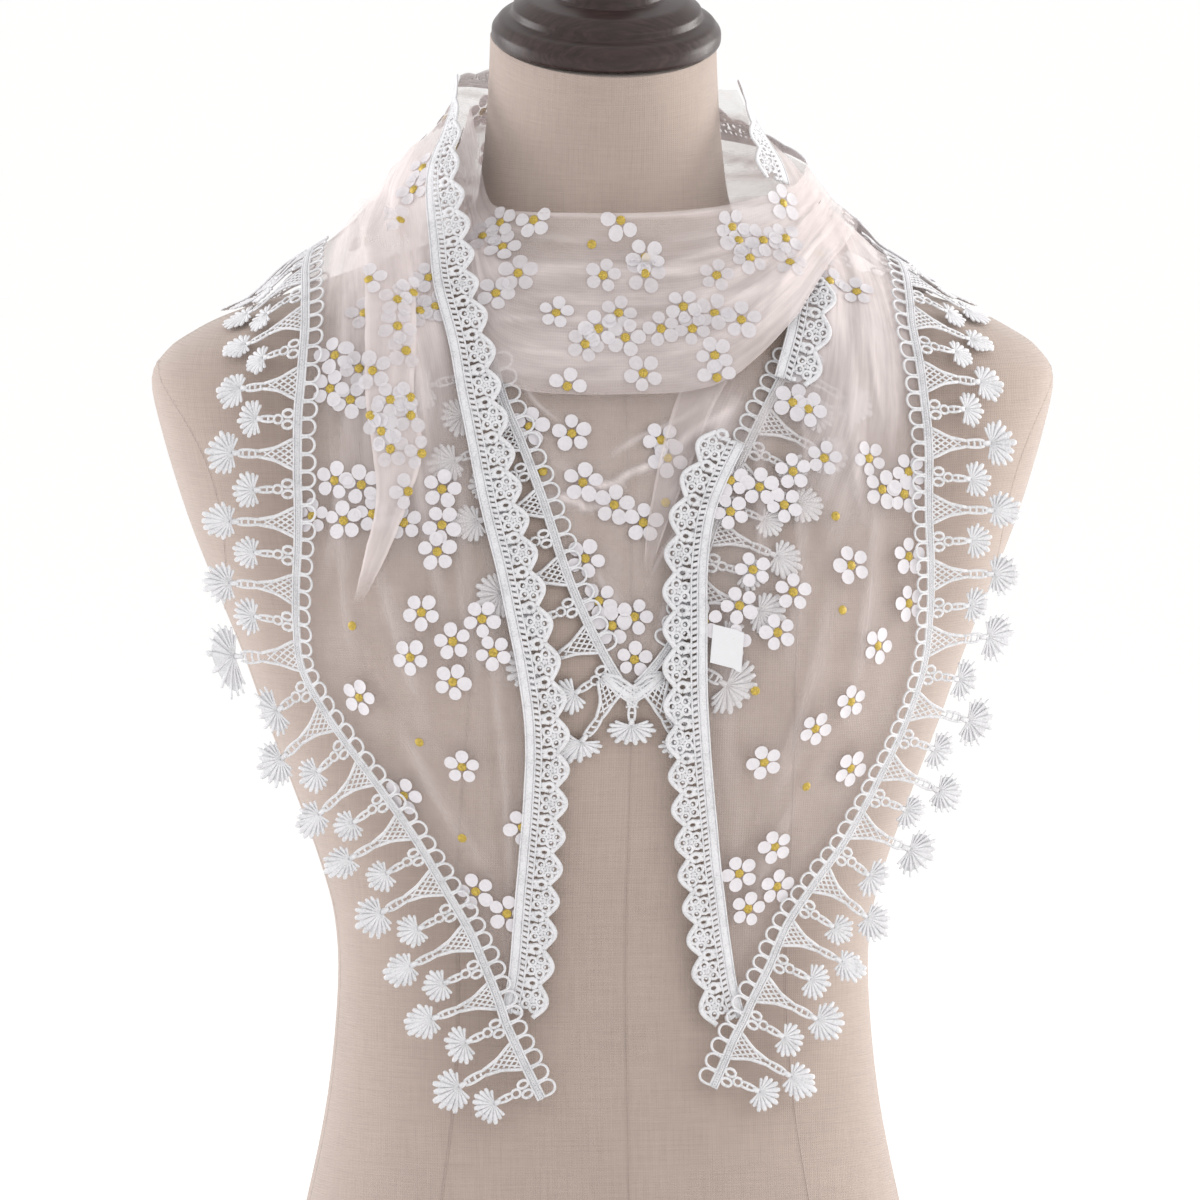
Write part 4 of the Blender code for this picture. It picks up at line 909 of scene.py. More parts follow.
def shell(name, grid, gathered, material):
    """A piece of cloth through a grid of points, with its flat places and how gathered it is."""
    grid = np.array([[tuple(point) for point in row] for row in grid])
    rows, columns, _ = grid.shape
    middle = grid[:, columns // 2]
    down = np.concatenate(([0.0], np.cumsum(np.linalg.norm(np.diff(middle, axis=0), axis=1))))
    widths = np.linalg.norm(np.diff(grid, axis=1), axis=2).sum(axis=1)
    aside = np.linspace(0.0, widths.mean(), columns)
    item = mesh_object(name, grid.reshape(-1, 3), strips(rows, columns), material)
    set_uv(item.data, np.stack(np.meshgrid(aside, down), axis=2).reshape(-1, 2))
    set_values(item.data, "gather", gathered)
    return item


def seen_places(grid):
    """Across and up, in millimetres as seen from the front, of a grid of points."""
    points = np.array([[tuple(point) for point in row] for row in grid]) / MM
    return points @ np.array(VIEW_RIGHT), points @ np.array(VIEW_UP)


def surface_of(item):
    """A search tree of an object's mesh, for laying other pieces on it."""
    item.data.calc_loop_triangles()
    points = [vertex.co for vertex in item.data.vertices]
    return BVHTree.FromPolygons(points, [tuple(face.vertices) for face in item.data.loop_triangles])


def end_grid(rows, crest, degrees):
    """Places of a hanging end on the bridge: a row of points for each height, from inner to outer edge."""
    top = crest_row(crest, degrees, END_COLUMNS)
    shares = [column / (END_COLUMNS - 1) for column in range(END_COLUMNS)]
    grid, ups = [], []
    for row in spline(rows, END_ROWS):
        places = crossing(row[:2], row[2:], shares)
        grid.append([seen(across, up, BRIDGE) for across, up in places])
        ups.append([up for _, up in places])
    tops = crest_ups(crest, END_COLUMNS)
    for step in range(CREST_ROWS, -1, -1):
        share = step / (CREST_ROWS + 1)
        grid.insert(0, between(top, grid[-END_ROWS], share) if step else top)
        ups.insert(0, [a + (b - a) * share for a, b in zip(tops, ups[-END_ROWS])])
    return grid, ups


def hanging_end(name, rows, crest, degrees, gathers, lift, creases, clouds, material):
    """One end of the shawl, from the shoulder to its tip, with its gathers and creases."""
    grid, ups = end_grid(rows, crest, degrees)
    places = seen_places(grid)
    rise, fold = crease_lines(creases, *places)
    shell_grid = []
    for number, (points, heights) in enumerate(zip(grid, ups)):
        line = []
        for column, (point, height) in enumerate(zip(points, heights)):
            share = column / (len(points) - 1)
            edge = min((point - points[0]).length, (point - points[-1]).length)
            more = gather_rise(gathers, share, height) * GATHER_SHARE + rise[number, column]
            more *= smooth_step(CALM_FROM, CALM_TO, edge)
            line.append(seat(point, lift(height) + TULLE_WALL / 2 + more, BRIDGE))
        shell_grid.append(line)
    return shell(name, shell_grid, closeness(cloud_share(clouds, *places), fold), material)


def throat_band(material):
    """The band across the throat, folded in three, from the left of the neck to the right."""
    downs = np.linspace(0.0, 1.0, BAND_COLUMNS)
    outs = np.interp(downs, *zip(*BAND_FOLDS))
    feet, looks = [], []

    def add_station(near, far, lift, bridge, step):
        """One line down the band: its place on the form and on the bridge, and its lift."""
        bridge = min(1.0, max(0.0, bridge))
        feet.append((near, far, lift, bridge, step))
        looks.append([a.lerp(b, bridge) for a, b in zip(near, far)])

    for row in spline(THROAT_BAND, BAND_STATIONS):
        places = crossing(row[:2], row[2:4], downs)
        add_station(*([seen(across, up, base) for across, up in places] for base in (FORM, BRIDGE)), *row[4:])
    right = crest_row(BAND_RIGHT_CREST, 0, BAND_COLUMNS, -SEAM_GAP / 2)
    last = feet[-1][1]
    end = THROAT_BAND[-1]
    for step in range(1, BAND_LAST_STEPS):
        share = step / BAND_LAST_STEPS
        middle = between(last, right, share)
        add_station(middle, middle, end.lift, end.bridge, end.step - BAND_FALL * share)
    add_station(right, right, end.lift, end.bridge, BAND_END_STEP)
    places = seen_places(looks)
    rise, fold = crease_lines(BAND_CREASES, *places)
    left = [back_point(180, up, LOW_LIFT + BAND_WALL / 2, True) for up in crest_ups(BAND_LEFT_CREST, BAND_COLUMNS)]
    grid = []
    for number, (near, far, lift, bridge, step) in enumerate(feet):
        line = []
        for column, (a, b, out) in enumerate(zip(near, far, outs)):
            height = LOW_LIFT + (lift + out * step) * MM + BAND_WALL / 2 + rise[number, column]
            line.append(seat(a, height, FORM).lerp(seat(b, height, BRIDGE), bridge))
        grid.append(line)
    for step in range(1, BAND_FIRST_STEPS):
        share = step / BAND_FIRST_STEPS
        grid.insert(step - 1, [a.lerp(b, share) for a, b in zip(left, grid[step - 1])])
    grid.insert(0, left)
    hidden = np.full((BAND_FIRST_STEPS, BAND_COLUMNS), BAND_START_CLOSE)
    gathered = np.concatenate((hidden, closeness(cloud_share(BAND_CLOUDS, *places), fold)))
    return shell("band_tulle", grid, gathered, material)


def front_bib(material):
    """The V of cloth below the band, with soft swags and thin folds."""
    shares = np.linspace(0.0, 1.0, BIB_COLUMNS)
    places = [crossing(a, b, shares) for a, b in zip(spline(BIB_LEFT, BIB_ROWS), spline(BIB_RIGHT, BIB_ROWS))]
    across, up = np.moveaxis(np.array(places), 2, 0)
    rise, fold = crease_lines(BIB_CREASES, across, up)
    rise = rise * np.sin(np.pi * shares) ** 1.5
    grid = []
    for row, rises in zip(places, rise):
        line = [seat(seen(*place, FORM), BIB_LIFT + TULLE_WALL / 2 + more, FORM) for place, more in zip(row, rises)]
        grid.append(line)
    gathered = closeness(cloud_share(BIB_CLOUDS, across, up), fold, BIB_FOLD_SHARE)
    return shell("bib_tulle", grid, gathered, material)


def back_stretch(name, rows, right_crest, left_crest, lift, hugging, creases, clouds, fronts, material):
    """A stretch of the shawl behind the neck, from shoulder to shoulder, with its long creases."""
    stations = [(0, crest_ups(right_crest, BACK_ROWS))]
    for degrees, top, low in spline(rows, BACK_STATIONS):
        stations.append((degrees, list(np.linspace(top, low, BACK_ROWS))))
    stations.append((180, crest_ups(left_crest, BACK_ROWS)))
    turns = np.array([[degrees] * BACK_ROWS for degrees, _ in stations], dtype=float)
    ups = np.array([ups for _, ups in stations], dtype=float)
    rise, fold = crease_lines(creases, turns, ups)
    cloud = cloud_share(clouds, turns, ups)
    for crest, degrees, front, reach in zip((right_crest, left_crest), (0, 180), fronts, CREST_REACH):
        place = seen_places([crest_row(crest, degrees, BACK_ROWS)])
        near = np.clip(1.0 - np.abs(turns - degrees) / reach, 0.0, 1.0)
        cloud += (cloud_share(front, *place) - cloud) * near * near * (3.0 - 2.0 * near)
    rise = rise * np.sin(np.pi * np.linspace(0.0, 1.0, BACK_ROWS)) ** 0.6
    grid = []
    for (degrees, heights), rises in zip(stations, rise):
        line = [back_point(degrees, up, lift + TULLE_WALL / 2 + more, hugging) for up, more in zip(heights, rises)]
        grid.append(line)
    return shell(name, grid, closeness(cloud, fold), material)


def loose_fold(name, rows, base, cover, peak, close, material):
    """A loose fold lying on the cloth, as a narrow ridge that tapers to a point."""
    grid = []
    for number, (up, left, right) in enumerate(spline(rows, PLEAT_ROWS)):
        taper = 1.0 - PLEAT_TAPER * number / (PLEAT_ROWS - 1)
        line = []
        for column in range(PLEAT_COLUMNS):
            share = column / (PLEAT_COLUMNS - 1)
            hit, out, _ = off_surface(seen(left + (right - left) * share, up, base), base)
            height = cover_height(hit, out, 0.0, [cover], PLEAT_ALONG * VIEW_UP, PLEAT_ASIDE * VIEW_RIGHT)
            ridge = math.sin(math.pi * share) + PLEAT_RIPPLE * math.sin(3 * math.pi * share + number / PLEAT_TURN)
            line.append(hit + out * (height + peak * taper * ridge + TULLE_WALL / 2))
        grid.append(line)
    gathered = np.full((PLEAT_ROWS, PLEAT_COLUMNS), close)
    gathered[:, [0, 1, -2, -1]] += PLEAT_HEM_CLOSE
    downs = np.linspace(0.0, 1.0, PLEAT_ROWS)
    gathered *= np.clip(np.minimum(downs / PLEAT_FADE_IN, (1.0 - downs) / PLEAT_FADE_OUT), 0.0, 1.0)[:, None]
    return shell(name, grid, gathered, material)


class LaceBed:
    """The surface that a lace lies in: points and ways out of it at even steps along an edge and out over it."""

    def __init__(self, edge, low, high, fans=False, leans=None):
        count = max(4, round((edge.length + 2 * BED_OVER) / BED_STEP))
        self.alongs = np.linspace(-BED_OVER, edge.length + BED_OVER, count + 1)
        self.outs = np.linspace(low, high, max(3, round((high - low) / BED_STEP)) + 1)
        points, ways = [], []
        for along in self.alongs:
            for out in self.outs:
                reach = float(out) * (leans(along, edge.length) if leans else 1.0)
                foot, normal, rest = edge.place(float(along), reach, fans)
                points.append(tuple(foot + normal * (rest + LACE_WALL / 2)))
                ways.append(tuple(normal))
        shape = (len(self.alongs), len(self.outs), 3)
        self.points = self.softened(np.array(points).reshape(shape), 2)
        self.ways = self.softened(np.array(ways).reshape(shape), 3)

    def softened(self, grid, rounds):
        """The grid with each inner point moved toward the mean of its neighbours."""
        for _ in range(rounds):
            for axis in (0, 1):
                moved = np.moveaxis(grid, axis, 0)
                moved[1:-1] = (moved[:-2] + 2 * moved[1:-1] + moved[2:]) / 4
        return grid

    def at(self, places):
        """Points and ways out of the bed at an array of places along and out."""
        rows, columns = (
            np.clip((places[:, axis] - steps[0]) / (steps[1] - steps[0]), 0, len(steps) - 1.001)
            for axis, steps in enumerate((self.alongs, self.outs))
        )
        row, column = rows.astype(int), columns.astype(int)
        a, b = (rows - row)[:, None], (columns - column)[:, None]
        result = []
        for grid in (self.points, self.ways):
            near = grid[row, column] * (1 - b) + grid[row, column + 1] * b
            far = grid[row + 1, column] * (1 - b) + grid[row + 1, column + 1] * b
            result.append(near * (1 - a) + far * a)
        return result


class Threads:
    """Threads and plates of a lace, gathered as one mesh."""

    def __init__(self, bed):
        self.bed = bed
        self.points = []
        self.faces = []
        self.count = 0
        self.flat = []

    def stroke(self, places, half, rise, lift=0.0):
        """One thread with a rounded six-sided section through places along and out."""
        places = np.asarray(places, dtype=float)
        half = np.broadcast_to(np.asarray(half, dtype=float), (len(places),))[:, None]
        points, ways = self.bed.at(places)
        ways = ways / np.linalg.norm(ways, axis=1, keepdims=True)
        run = np.gradient(points, axis=0)
        side = np.cross(run, ways)
        side /= np.maximum(np.linalg.norm(side, axis=1, keepdims=True), 1e-9)
        middle = points + ways * lift
        section = [middle + side * half * wide + ways * rise * tall for wide, tall in THREAD_SECTION]
        sides = len(section)
        self.points.append(np.stack(section, axis=1).reshape(-1, 3))
        self.flat.append(np.repeat(places, sides, axis=0))
        start = self.count
        self.count += len(places) * sides
        self.faces += strips(len(places), sides, True, start) + end_faces(start, self.count - sides, sides)

    def rails(self, alongs, rails):
        """Threads along the edge, each at its place over it, with half its width and its rise, in millimetres."""
        for out, half, rise in rails:
            self.stroke(np.stack((alongs, np.full_like(alongs, out * MM)), axis=1), half * MM, rise * MM)

    def plate(self, places, lift=0.0):
        """A thin web round the first place, through the others."""
        places = np.asarray(places, dtype=float)
        points, ways = self.bed.at(places)
        self.points.append(points + ways * lift)
        self.flat.append(places)
        for step in range(1, len(places) - 1):
            self.faces.append((self.count, self.count + step, self.count + step + 1))
        self.count += len(places)

    def finish(self, name, material):
        """The named object of all threads."""
        item = mesh_object(name, np.concatenate(self.points), self.faces, material)
        set_uv(item.data, np.concatenate(self.flat))
        return item


def circle(along, out, wide, tall, count, start=0.0, turn=TURN):
    """Places round an oval."""
    angles = start + np.linspace(0.0, turn, count)
    return np.stack((along + wide * np.cos(angles), out + tall * np.sin(angles)), axis=1)


def fan_radius(theta, reaches):
    """Reach of a shell fan at an angle from its middle line."""
    return np.interp(abs(theta), [0.0, FAN_BEND, FAN_OPEN], reaches)


def swaying(sway):
    """A rule that leads a place of a fan aside, more toward the fan's end."""
    return lambda along, out: (along + sway * (out / FAN_REACH) ** 2, out)


def shell_fan(threads, swayed, middle, root, centre, reaches, fingers, seed):
    """A shell-shaped fan: a web and its fingers, which part at the rim."""
    reaches = [reach * MM for reach in reaches]
    web = [swayed(middle, centre)]
    for angle in np.linspace(-1.0, 1.0, 2 * fingers - 1) * FAN_OPEN:
        reach = fan_radius(angle, reaches) * WEB_SHARE
        web.append(swayed(middle + reach * math.sin(angle), centre + reach * math.cos(angle)))
    threads.plate(web, -0.1 * MM)
    for number, angle in enumerate(np.linspace(-1.0, 1.0, fingers) * FAN_OPEN):
        reach = fan_radius(angle, reaches) * (1.0 + 0.05 * math.sin(number * 2.4 + seed * 1.7))
        line = []
        for share in FINGER_SHARES:
            bow = angle * (0.90 + 0.10 * share)
            line.append(swayed(middle + reach * share * math.sin(bow), centre + reach * share * math.cos(bow)))
        full = WEB_SHARE * reach * FAN_OPEN / (fingers - 1)
        threads.stroke(line, [half * full for half in FINGER_HALVES], 0.42 * MM)
    threads.stroke([swayed(middle, root), swayed(middle, centre)], [1.1 * MM, 1.5 * MM], 0.5 * MM)


def fan_lace(name, edge, material, bare_end=0.0):
    """The fan-tasselled lace along an edge: its dense header, the loops inside it and two fans to each repeat."""
    thread = sizes().thread
    bed = LaceBed(edge, -LOOP_REACH, FAN_REACH, True)
    threads = Threads(bed)
    repeats = max(1, round(edge.length / sizes().fan_repeat))
    repeat = edge.length / repeats
    rows = np.arange(0.0, edge.length + EDGE_STEP / 2, edge.length / round(edge.length / EDGE_STEP))
    threads.rails(rows, HEADER_RAILS)
    fine = np.linspace(0.0, edge.length, round(edge.length / HEADER_STITCH * 4) + 1)
    for turn in (0.0, math.pi):
        weave = 0.85 * MM * np.sin(fine / HEADER_STITCH * 2 * math.pi + turn)
        threads.stroke(np.stack((fine, weave), axis=1), 0.36 * MM, 0.34 * MM, 0.3 * MM)
    loop = repeat / LOOPS_PER_REPEAT
    for number in range(repeats * LOOPS_PER_REPEAT):
        middle = (number + 0.5) * loop
        if middle > edge.length - bare_end:
            continue
        half = loop / 2 - 0.35 * MM
        drop = (LOOP_REACH - half - 0.8 * MM) * (1.0 + 0.06 * math.sin(number * 1.9))
        path = [(middle - half * 0.86, -1.2 * MM), (middle - half, -0.6 * drop)]
        path += [tuple(place) for place in circle(middle, -drop, half, half, 9, math.pi, math.pi)]
        path += [(middle + half, -0.6 * drop), (middle + half * 0.86, -1.2 * MM)]
        threads.stroke(path, 1.0 * thread, 0.5 * MM)
    for number in range(repeats):
        sway = FAN_SWAY * math.sin(SWAY_TURN * number + SWAY_START)
        big_motif(threads, (number + BIG_AT) * repeat, sway, thread, number)
        small_motif(threads, (number + SMALL_AT) * repeat, -sway, thread, number)
    return threads.finish(name, material)


def big_motif(threads, middle, sway, thread, seed):
    """The long fan: a lattice that narrows to a neck, a stem with holes and a shell fan."""
    swayed = swaying(sway)

    def half_at(out):
        return float(np.interp(out, [1.8 * MM, 10 * MM, BIG_NECK_AT], [BIG_ROOT_HALF, 2.7 * MM, 1.2 * MM]))

    outs = np.linspace(BIG_ROOT_AT, BIG_NECK_AT, 8)
    for side in (-1, 1):
        threads.stroke([swayed(middle + side * half_at(out), out) for out in outs], 1.3 * thread, 0.55 * MM)
        for number in range(LATTICE_THREADS):
            foot = (number - LATTICE_THREADS // 2) * LATTICE_STEP
            line = []
            for out in np.linspace(BIG_ROOT_AT, 15.5 * MM, 15):
                along = foot + side * (out - 6 * MM) * LATTICE_SLOPE
                if abs(along) < half_at(out):
                    line.append(swayed(middle + along, out))
            if len(line) > 1:
                threads.stroke(line, 0.72 * thread, 0.3 * MM)
    stem = np.linspace(BIG_NECK_AT - 1 * MM, 27.6 * MM, len(STEM_HALVES))
    for side in (-1, 1):
        line = [swayed(middle + side * wide * MM, out) for wide, out in zip(STEM_HALVES, stem)]
        threads.stroke(line, 1.1 * thread, 0.5 * MM)
    for out in (19.4 * MM, 22.4 * MM, 25.4 * MM):
        bar = [swayed(middle + aside * MM, out + rise * MM) for aside, rise in ((-1.4, 0.0), (0.0, 0.3), (1.4, 0.0))]
        threads.stroke(bar, thread, 0.45 * MM)
    shell_fan(threads, swayed, middle, 26.8 * MM, 30.6 * MM, (13.3, 10.6, 6.6), 13, seed)


def small_motif(threads, middle, sway, thread, seed):
    """The short fan: rings at the header, a stem with holes and a shell fan."""
    swayed = swaying(sway)
    for side in (-1, 1):
        ring = circle(middle + side * 2.3 * MM, 4.6 * MM, 1.7 * MM, 2.5 * MM, 10)
        threads.stroke(ring, 1.2 * thread, 0.5 * MM)
    threads.stroke(circle(middle, 9.2 * MM, 1.8 * MM, 2.1 * MM, 10), 1.05 * thread, 0.5 * MM)
    for side in (-1, 1):
        line = [swayed(middle + side * wide * MM, out * MM) for wide, out in SMALL_STEM]
        threads.stroke(line, 1.05 * thread, 0.5 * MM)
    threads.stroke([swayed(middle + side * 1.2 * MM, 14.0 * MM) for side in (-1, 1)], thread, 0.45 * MM)
    shell_fan(threads, swayed, middle, 16.6 * MM, 19.8 * MM, (9.8, 9.0, 6.2), 12, seed + 0.5)


def scalloped_lace(name, edge, material, leans=None):
    """The scalloped lace along the long edge: a smooth tape, a rail, rosettes, rings and a thick rim."""
    thread = sizes().thread
    bed = LaceBed(edge, -SCALLOP_LAP - 1 * MM, SCALLOP_PEAK + 2 * MM, False, leans)
    threads = Threads(bed)
    repeats = max(1, round(edge.length / sizes().scallop_pitch))
    pitch = edge.length / repeats
    rows = np.linspace(0.0, edge.length, max(3, round(edge.length / EDGE_STEP)) + 1)
    threads.rails(rows, TAPE_RAILS)
    for number in range(repeats * BARS_PER_SCALLOP):
        along = (number + 0.5) * pitch / BARS_PER_SCALLOP
        threads.stroke([(along - 0.5 * MM, 1.8 * MM), (along + 0.5 * MM, 4.8 * MM)], 1.62 * thread, 0.45 * MM)
    for number in range(repeats):
        start = number * pitch
        scale = pitch / sizes().scallop_pitch
        middle = start + pitch / 2
        threads.stroke(circle(middle, ROSETTE_AT, 0.6 * MM, 0.6 * MM, 8), 1.4 * thread, 0.6 * MM)
        for petal in range(ROSETTE_PETALS):
            angle = math.pi / 2 + TURN * petal / ROSETTE_PETALS
            place = (middle + ROSETTE_REACH * math.cos(angle) * scale, ROSETTE_AT + ROSETTE_REACH * math.sin(angle))
            threads.stroke(circle(*place, 1.85 * MM, 1.85 * MM, 9, angle), 1.3 * thread, 0.5 * MM)
            inward = (place[0] - 0.9 * MM * math.cos(angle), place[1] - 0.9 * MM * math.sin(angle))
            threads.stroke([inward, place], [0.7 * MM, 0.75 * MM], 0.35 * MM)
        threads.stroke(circle(start, 8.7 * MM, 1.9 * MM, 2.3 * MM, 11), 1.8 * thread, 0.5 * MM)
        ties = ((3.2, 4.8), (2.9, 6.7)), ((6.9 * scale, 4.8), (6.6 * scale, 7.2)), ((4.4, 11.8), (5.9 * scale, 13.0))
        for side in (-1, 1):
            for tie in ties:
                threads.stroke([(middle + side * away * MM, out * MM) for away, out in tie], 1.9 * thread, 0.4 * MM)
        shares = np.linspace(0.0, 1.0, 13)
        rim = [(start + pitch * share, RIM_AT + RIM_RISE * math.sin(math.pi * share) ** 1.25) for share in shares]
        threads.stroke(rim, 1.2 * MM, 0.55 * MM)
    return threads.finish(name, material)


def point_fans(name, edge, material):
    """The fans that hang from the point of the V."""
    threads = Threads(LaceBed(edge, -2 * MM, FAN_REACH))
    thread = sizes().thread
    for side in (-1, 1):
        for shift, half in ((0.0, 1.6), (-2.6, 0.6), (2.6, 0.6), (-5.0, 0.9)):
            line = [((0.5 + side * away) * edge.length, (out + shift) * MM) for away, out in POINT_SEAM]
            threads.stroke(line, half * MM, 0.5 * MM)
    big_motif(threads, 0.26 * edge.length, -POINT_SWAY, thread, 1)
    big_motif(threads, 0.74 * edge.length, POINT_SWAY, thread, 3)
    small_motif(threads, 0.5 * edge.length, 0.0, thread, 2)
    return threads.finish(name, material)


# Flowers in front, across and up as seen, by the piece that each lies on
LEFT_FLOWERS = [
    (-62, 585), (-56, 581), (-81, 577), (-85, 567), (-91, 553), (-78, 527), (-105, 526), (-85, 520), (-92, 517),
    (-75, 514), (-107, 511), (-61, 524), (-82, 512), (-56, 512), (-92, 505), (-88, 494), (-120, 492), (-109, 486),
    (-103, 485), (-122, 477), (-113, 472), (-104, 465), (-86, 473), (-95, 472), (-86, 465), (-99, 458), (-95, 450),
    (-81, 448), (-120, 436), (-108, 434), (-130, 420), (-116, 418), (-103, 421), (-87, 431), (-89, 417), (-72, 432),
    (-72, 416), (-74, 404), (-81, 377), (-54, 374), (-67, 364), (-86, 357), (-49, 359), (-67, 346), (-109, 339),
    (-121, 316), (-63, 308), (-89, 295), (-36, 281), (-57, 252), (-43, 242), (-71, 222),
]
RIGHT_FLOWERS = [
    (97, 538), (102, 526), (114, 521), (73, 501), (46, 473), (59, 468), (65, 477), (90, 488), (92, 468), (85, 471),
    (50, 437), (57, 436), (70, 433), (81, 425), (57, 422), (85, 440), (99, 446), (119, 446), (137, 440), (125, 432),
    (135, 430), (137, 402), (111, 398), (67, 396), (85, 386), (61, 380), (45, 373), (78, 368), (58, 364), (137, 381),
    (123, 362), (111, 337), (95, 325), (72, 310), (111, 307), (77, 272), (61, 260), (78, 254), (65, 244), (93, 246),
]
BAND_FLOWERS = [
    (19, 536), (19, 529), (0, 528), (-21, 511), (7, 511), (-8, 497), (10, 500), (18, 484), (-16, 478), (36, 514),
    (51, 528), (58, 550), (72, 544), (61, 544), (81, 561), (84, 534), (66, 536), (82, 545), (62, 508), (50, 511),
    (50, 492), (51, 482), (26, 504), (-2, 504), (40, 504), (-31, 553), (8, 553), (-45, 541), (-48, 520), (-38, 529),
    (-54, 546), (-46, 552),
]
BIB_FLOWERS = [
    (-14, 457), (-9, 435), (5, 425), (18, 417), (26, 454), (29, 446), (-8, 401), (14, 375), (4, 371), (14, 356),
    (-2, 382), (-33, 460),
]
BARE_DOTS = [
    (-5, 542), (-27, 440), (28, 426), (-112, 371), (-82, 319), (-63, 276), (104, 420), (107, 378), (68, 342), (91, 299),
]

# Flowers behind: degrees round the neck and height
BACK_OVER_FLOWERS = [
    (58, 584), (55, 548), (66, 518), (70, 566), (80, 591), (84, 542), (92, 511), (97, 574), (104, 552), (110, 598),
    (116, 522), (122, 583), (126, 556), (134, 602), (138, 530), (146, 590), (150, 564), (154, 544), (160, 600),
    (166, 572), (170, 550), (174, 588), (176, 562), (30, 524), (99, 532), (142, 578),
]
BACK_UNDER_FLOWERS = [(48, 602), (66, 602), (44, 590), (172, 588)]


def noise_turn(number, turn):
    """An even spread of angles and shares for numbered pieces."""
    return math.modf(math.sin(number * 12.9898 + turn * 78.233) * 43758.5453)[0] % 1.0


def front_hits(across, up, trees):
    """The cloths met by a line of sight, nearest first."""
    start = in_view(across, up) - VIEW_AHEAD
    hits = []
    for tree in trees:
        point, normal, _, distance = tree.ray_cast(start, VIEW_AHEAD)
        if point:
            hits.append((distance, point, normal if normal.dot(VIEW_AHEAD) < 0 else -normal, tree))
    return sorted(hits, key=lambda hit: hit[0])


class Meadow:
    """Flowers of one piece of cloth, gathered as one mesh of petals and one of dots."""

    def __init__(self):
        self.petals = ([], [])
        self.dots = ([], [])
        self.veils = []

    def patch(self, store, places):
        """A rounded patch from its middle, an inner and an outer ring of points."""
        points, faces = store
        inner = len(points) + 1
        points += places
        sides = (len(places) - 1) // 2
        outer = inner + sides
        for step in range(sides):
            after = (step + 1) % sides
            faces.append((inner - 1, inner + step, inner + after))
            faces.append((inner + step, outer + step, outer + after, inner + after))

    def flower(self, tree, middle, normal, number, whole=True, veil=0.0):
        """One flower with five round petals, or its gold dot alone."""
        aside = normal.cross(VIEW_UP)
        if aside.length < 0.2:
            aside = normal.cross(VIEW_RIGHT)
        aside.normalize()
        ahead = normal.cross(aside).normalized()

        def laid(across, out, lift):
            """A place round the flower's middle, laid on the cloth."""
            place = middle + aside * across + ahead * out
            hit = tree.ray_cast(place + normal * 4 * MM, -normal, 8 * MM)[0]
            return (hit or place) + normal * lift

        turn = noise_turn(number, 1) * 2 * math.pi
        size = sizes().petal * (0.92 + 0.16 * noise_turn(number, 2))
        for index in range(DAISY_PETALS if whole else 0):
            angle = turn + TURN * (index + 0.12 * (noise_turn(number + index, 3) - 0.5)) / DAISY_PETALS
            radius = size * (0.92 + 0.16 * noise_turn(number + index, 4))
            cosine, sine = math.cos(angle), math.sin(angle)
            centre = (PETAL_AWAY * size * cosine, PETAL_AWAY * size * sine)
            above = middle + aside * centre[0] + ahead * centre[1] + normal * 4 * MM
            if not tree.ray_cast(above, -normal, 9 * MM)[0]:
                continue
            lift = (0.25 + 0.04 * index) * MM
            places = [laid(*centre, lift)]
            for ring, rise in ((0.6, 0.10), (1.0, 0.22 + 0.35 * noise_turn(number + index, 5))):
                for step in range(PETAL_SIDES):
                    swing = TURN * step / PETAL_SIDES
                    long = radius * ring * 1.12 * math.cos(swing)
                    wide = radius * ring * math.sin(swing) * (1.04 + 0.10 * math.cos(swing))
                    across = centre[0] + long * cosine - wide * sine
                    places.append(laid(across, centre[1] + long * sine + wide * cosine, lift + rise * MM))
            self.patch(self.petals, places)
            self.veils += [veil] * len(places)
        places = [laid(0.0, 0.0, 1.1 * MM)]
        for ring, lift in ((0.62, 1.1), (1.0, 0.45)):
            radius = sizes().flower_dot * ring
            for step in range(DOT_SIDES):
                swing = TURN * step / DOT_SIDES + turn
                places.append(laid(radius * math.cos(swing), radius * math.sin(swing), lift * MM))
        self.patch(self.dots, places)

    def finish(self, name, finishes):
        """The named objects of the petals and of the dots."""
        made = []
        for ending, (points, faces), material in zip(("petals", "dots"), (self.petals, self.dots), finishes):
            if points:
                item = mesh_object(f"{name}_{ending}", points, faces, material)
                set_values(item.data, "veil", self.veils if ending == "petals" else [0.0] * len(points))
                made.append(item)
        return made


def front_flowers(name, places, keys, numbers, finishes, clouds=(), whole=True):
    """Flowers on the cloth in front, each on the nearest of the laid cloths named."""
    meadow = Meadow()
    for number, (across, up) in enumerate(places, numbers):
        hits = front_hits(across, up, [LAID[key] for key in keys])
        if hits:
            _, point, normal, tree = hits[0]
            veil = float(cloud_share(clouds, np.array([across]), np.array([up]))[0])
            veil *= 0.35 + 0.65 * noise_turn(number, 6)
            meadow.flower(tree, point, normal, number, whole, veil)
    return meadow.finish(name, finishes)


def back_flowers(name, places, key, numbers, finishes):
    """Flowers on a stretch behind, by their degrees round the neck and height."""
    meadow = Meadow()
    for number, (degrees, up) in enumerate(places, numbers):
        out = outward(degrees)
        start = Vector((0.0, SHOULDER_LINE_Y, up * MM)) + out * 0.5
        point, normal, _, _ = LAID[key].ray_cast(start, -out)
        if point:
            meadow.flower(LAID[key], point, normal if normal.dot(out) > 0 else -normal, number)
    return meadow.finish(name, finishes)


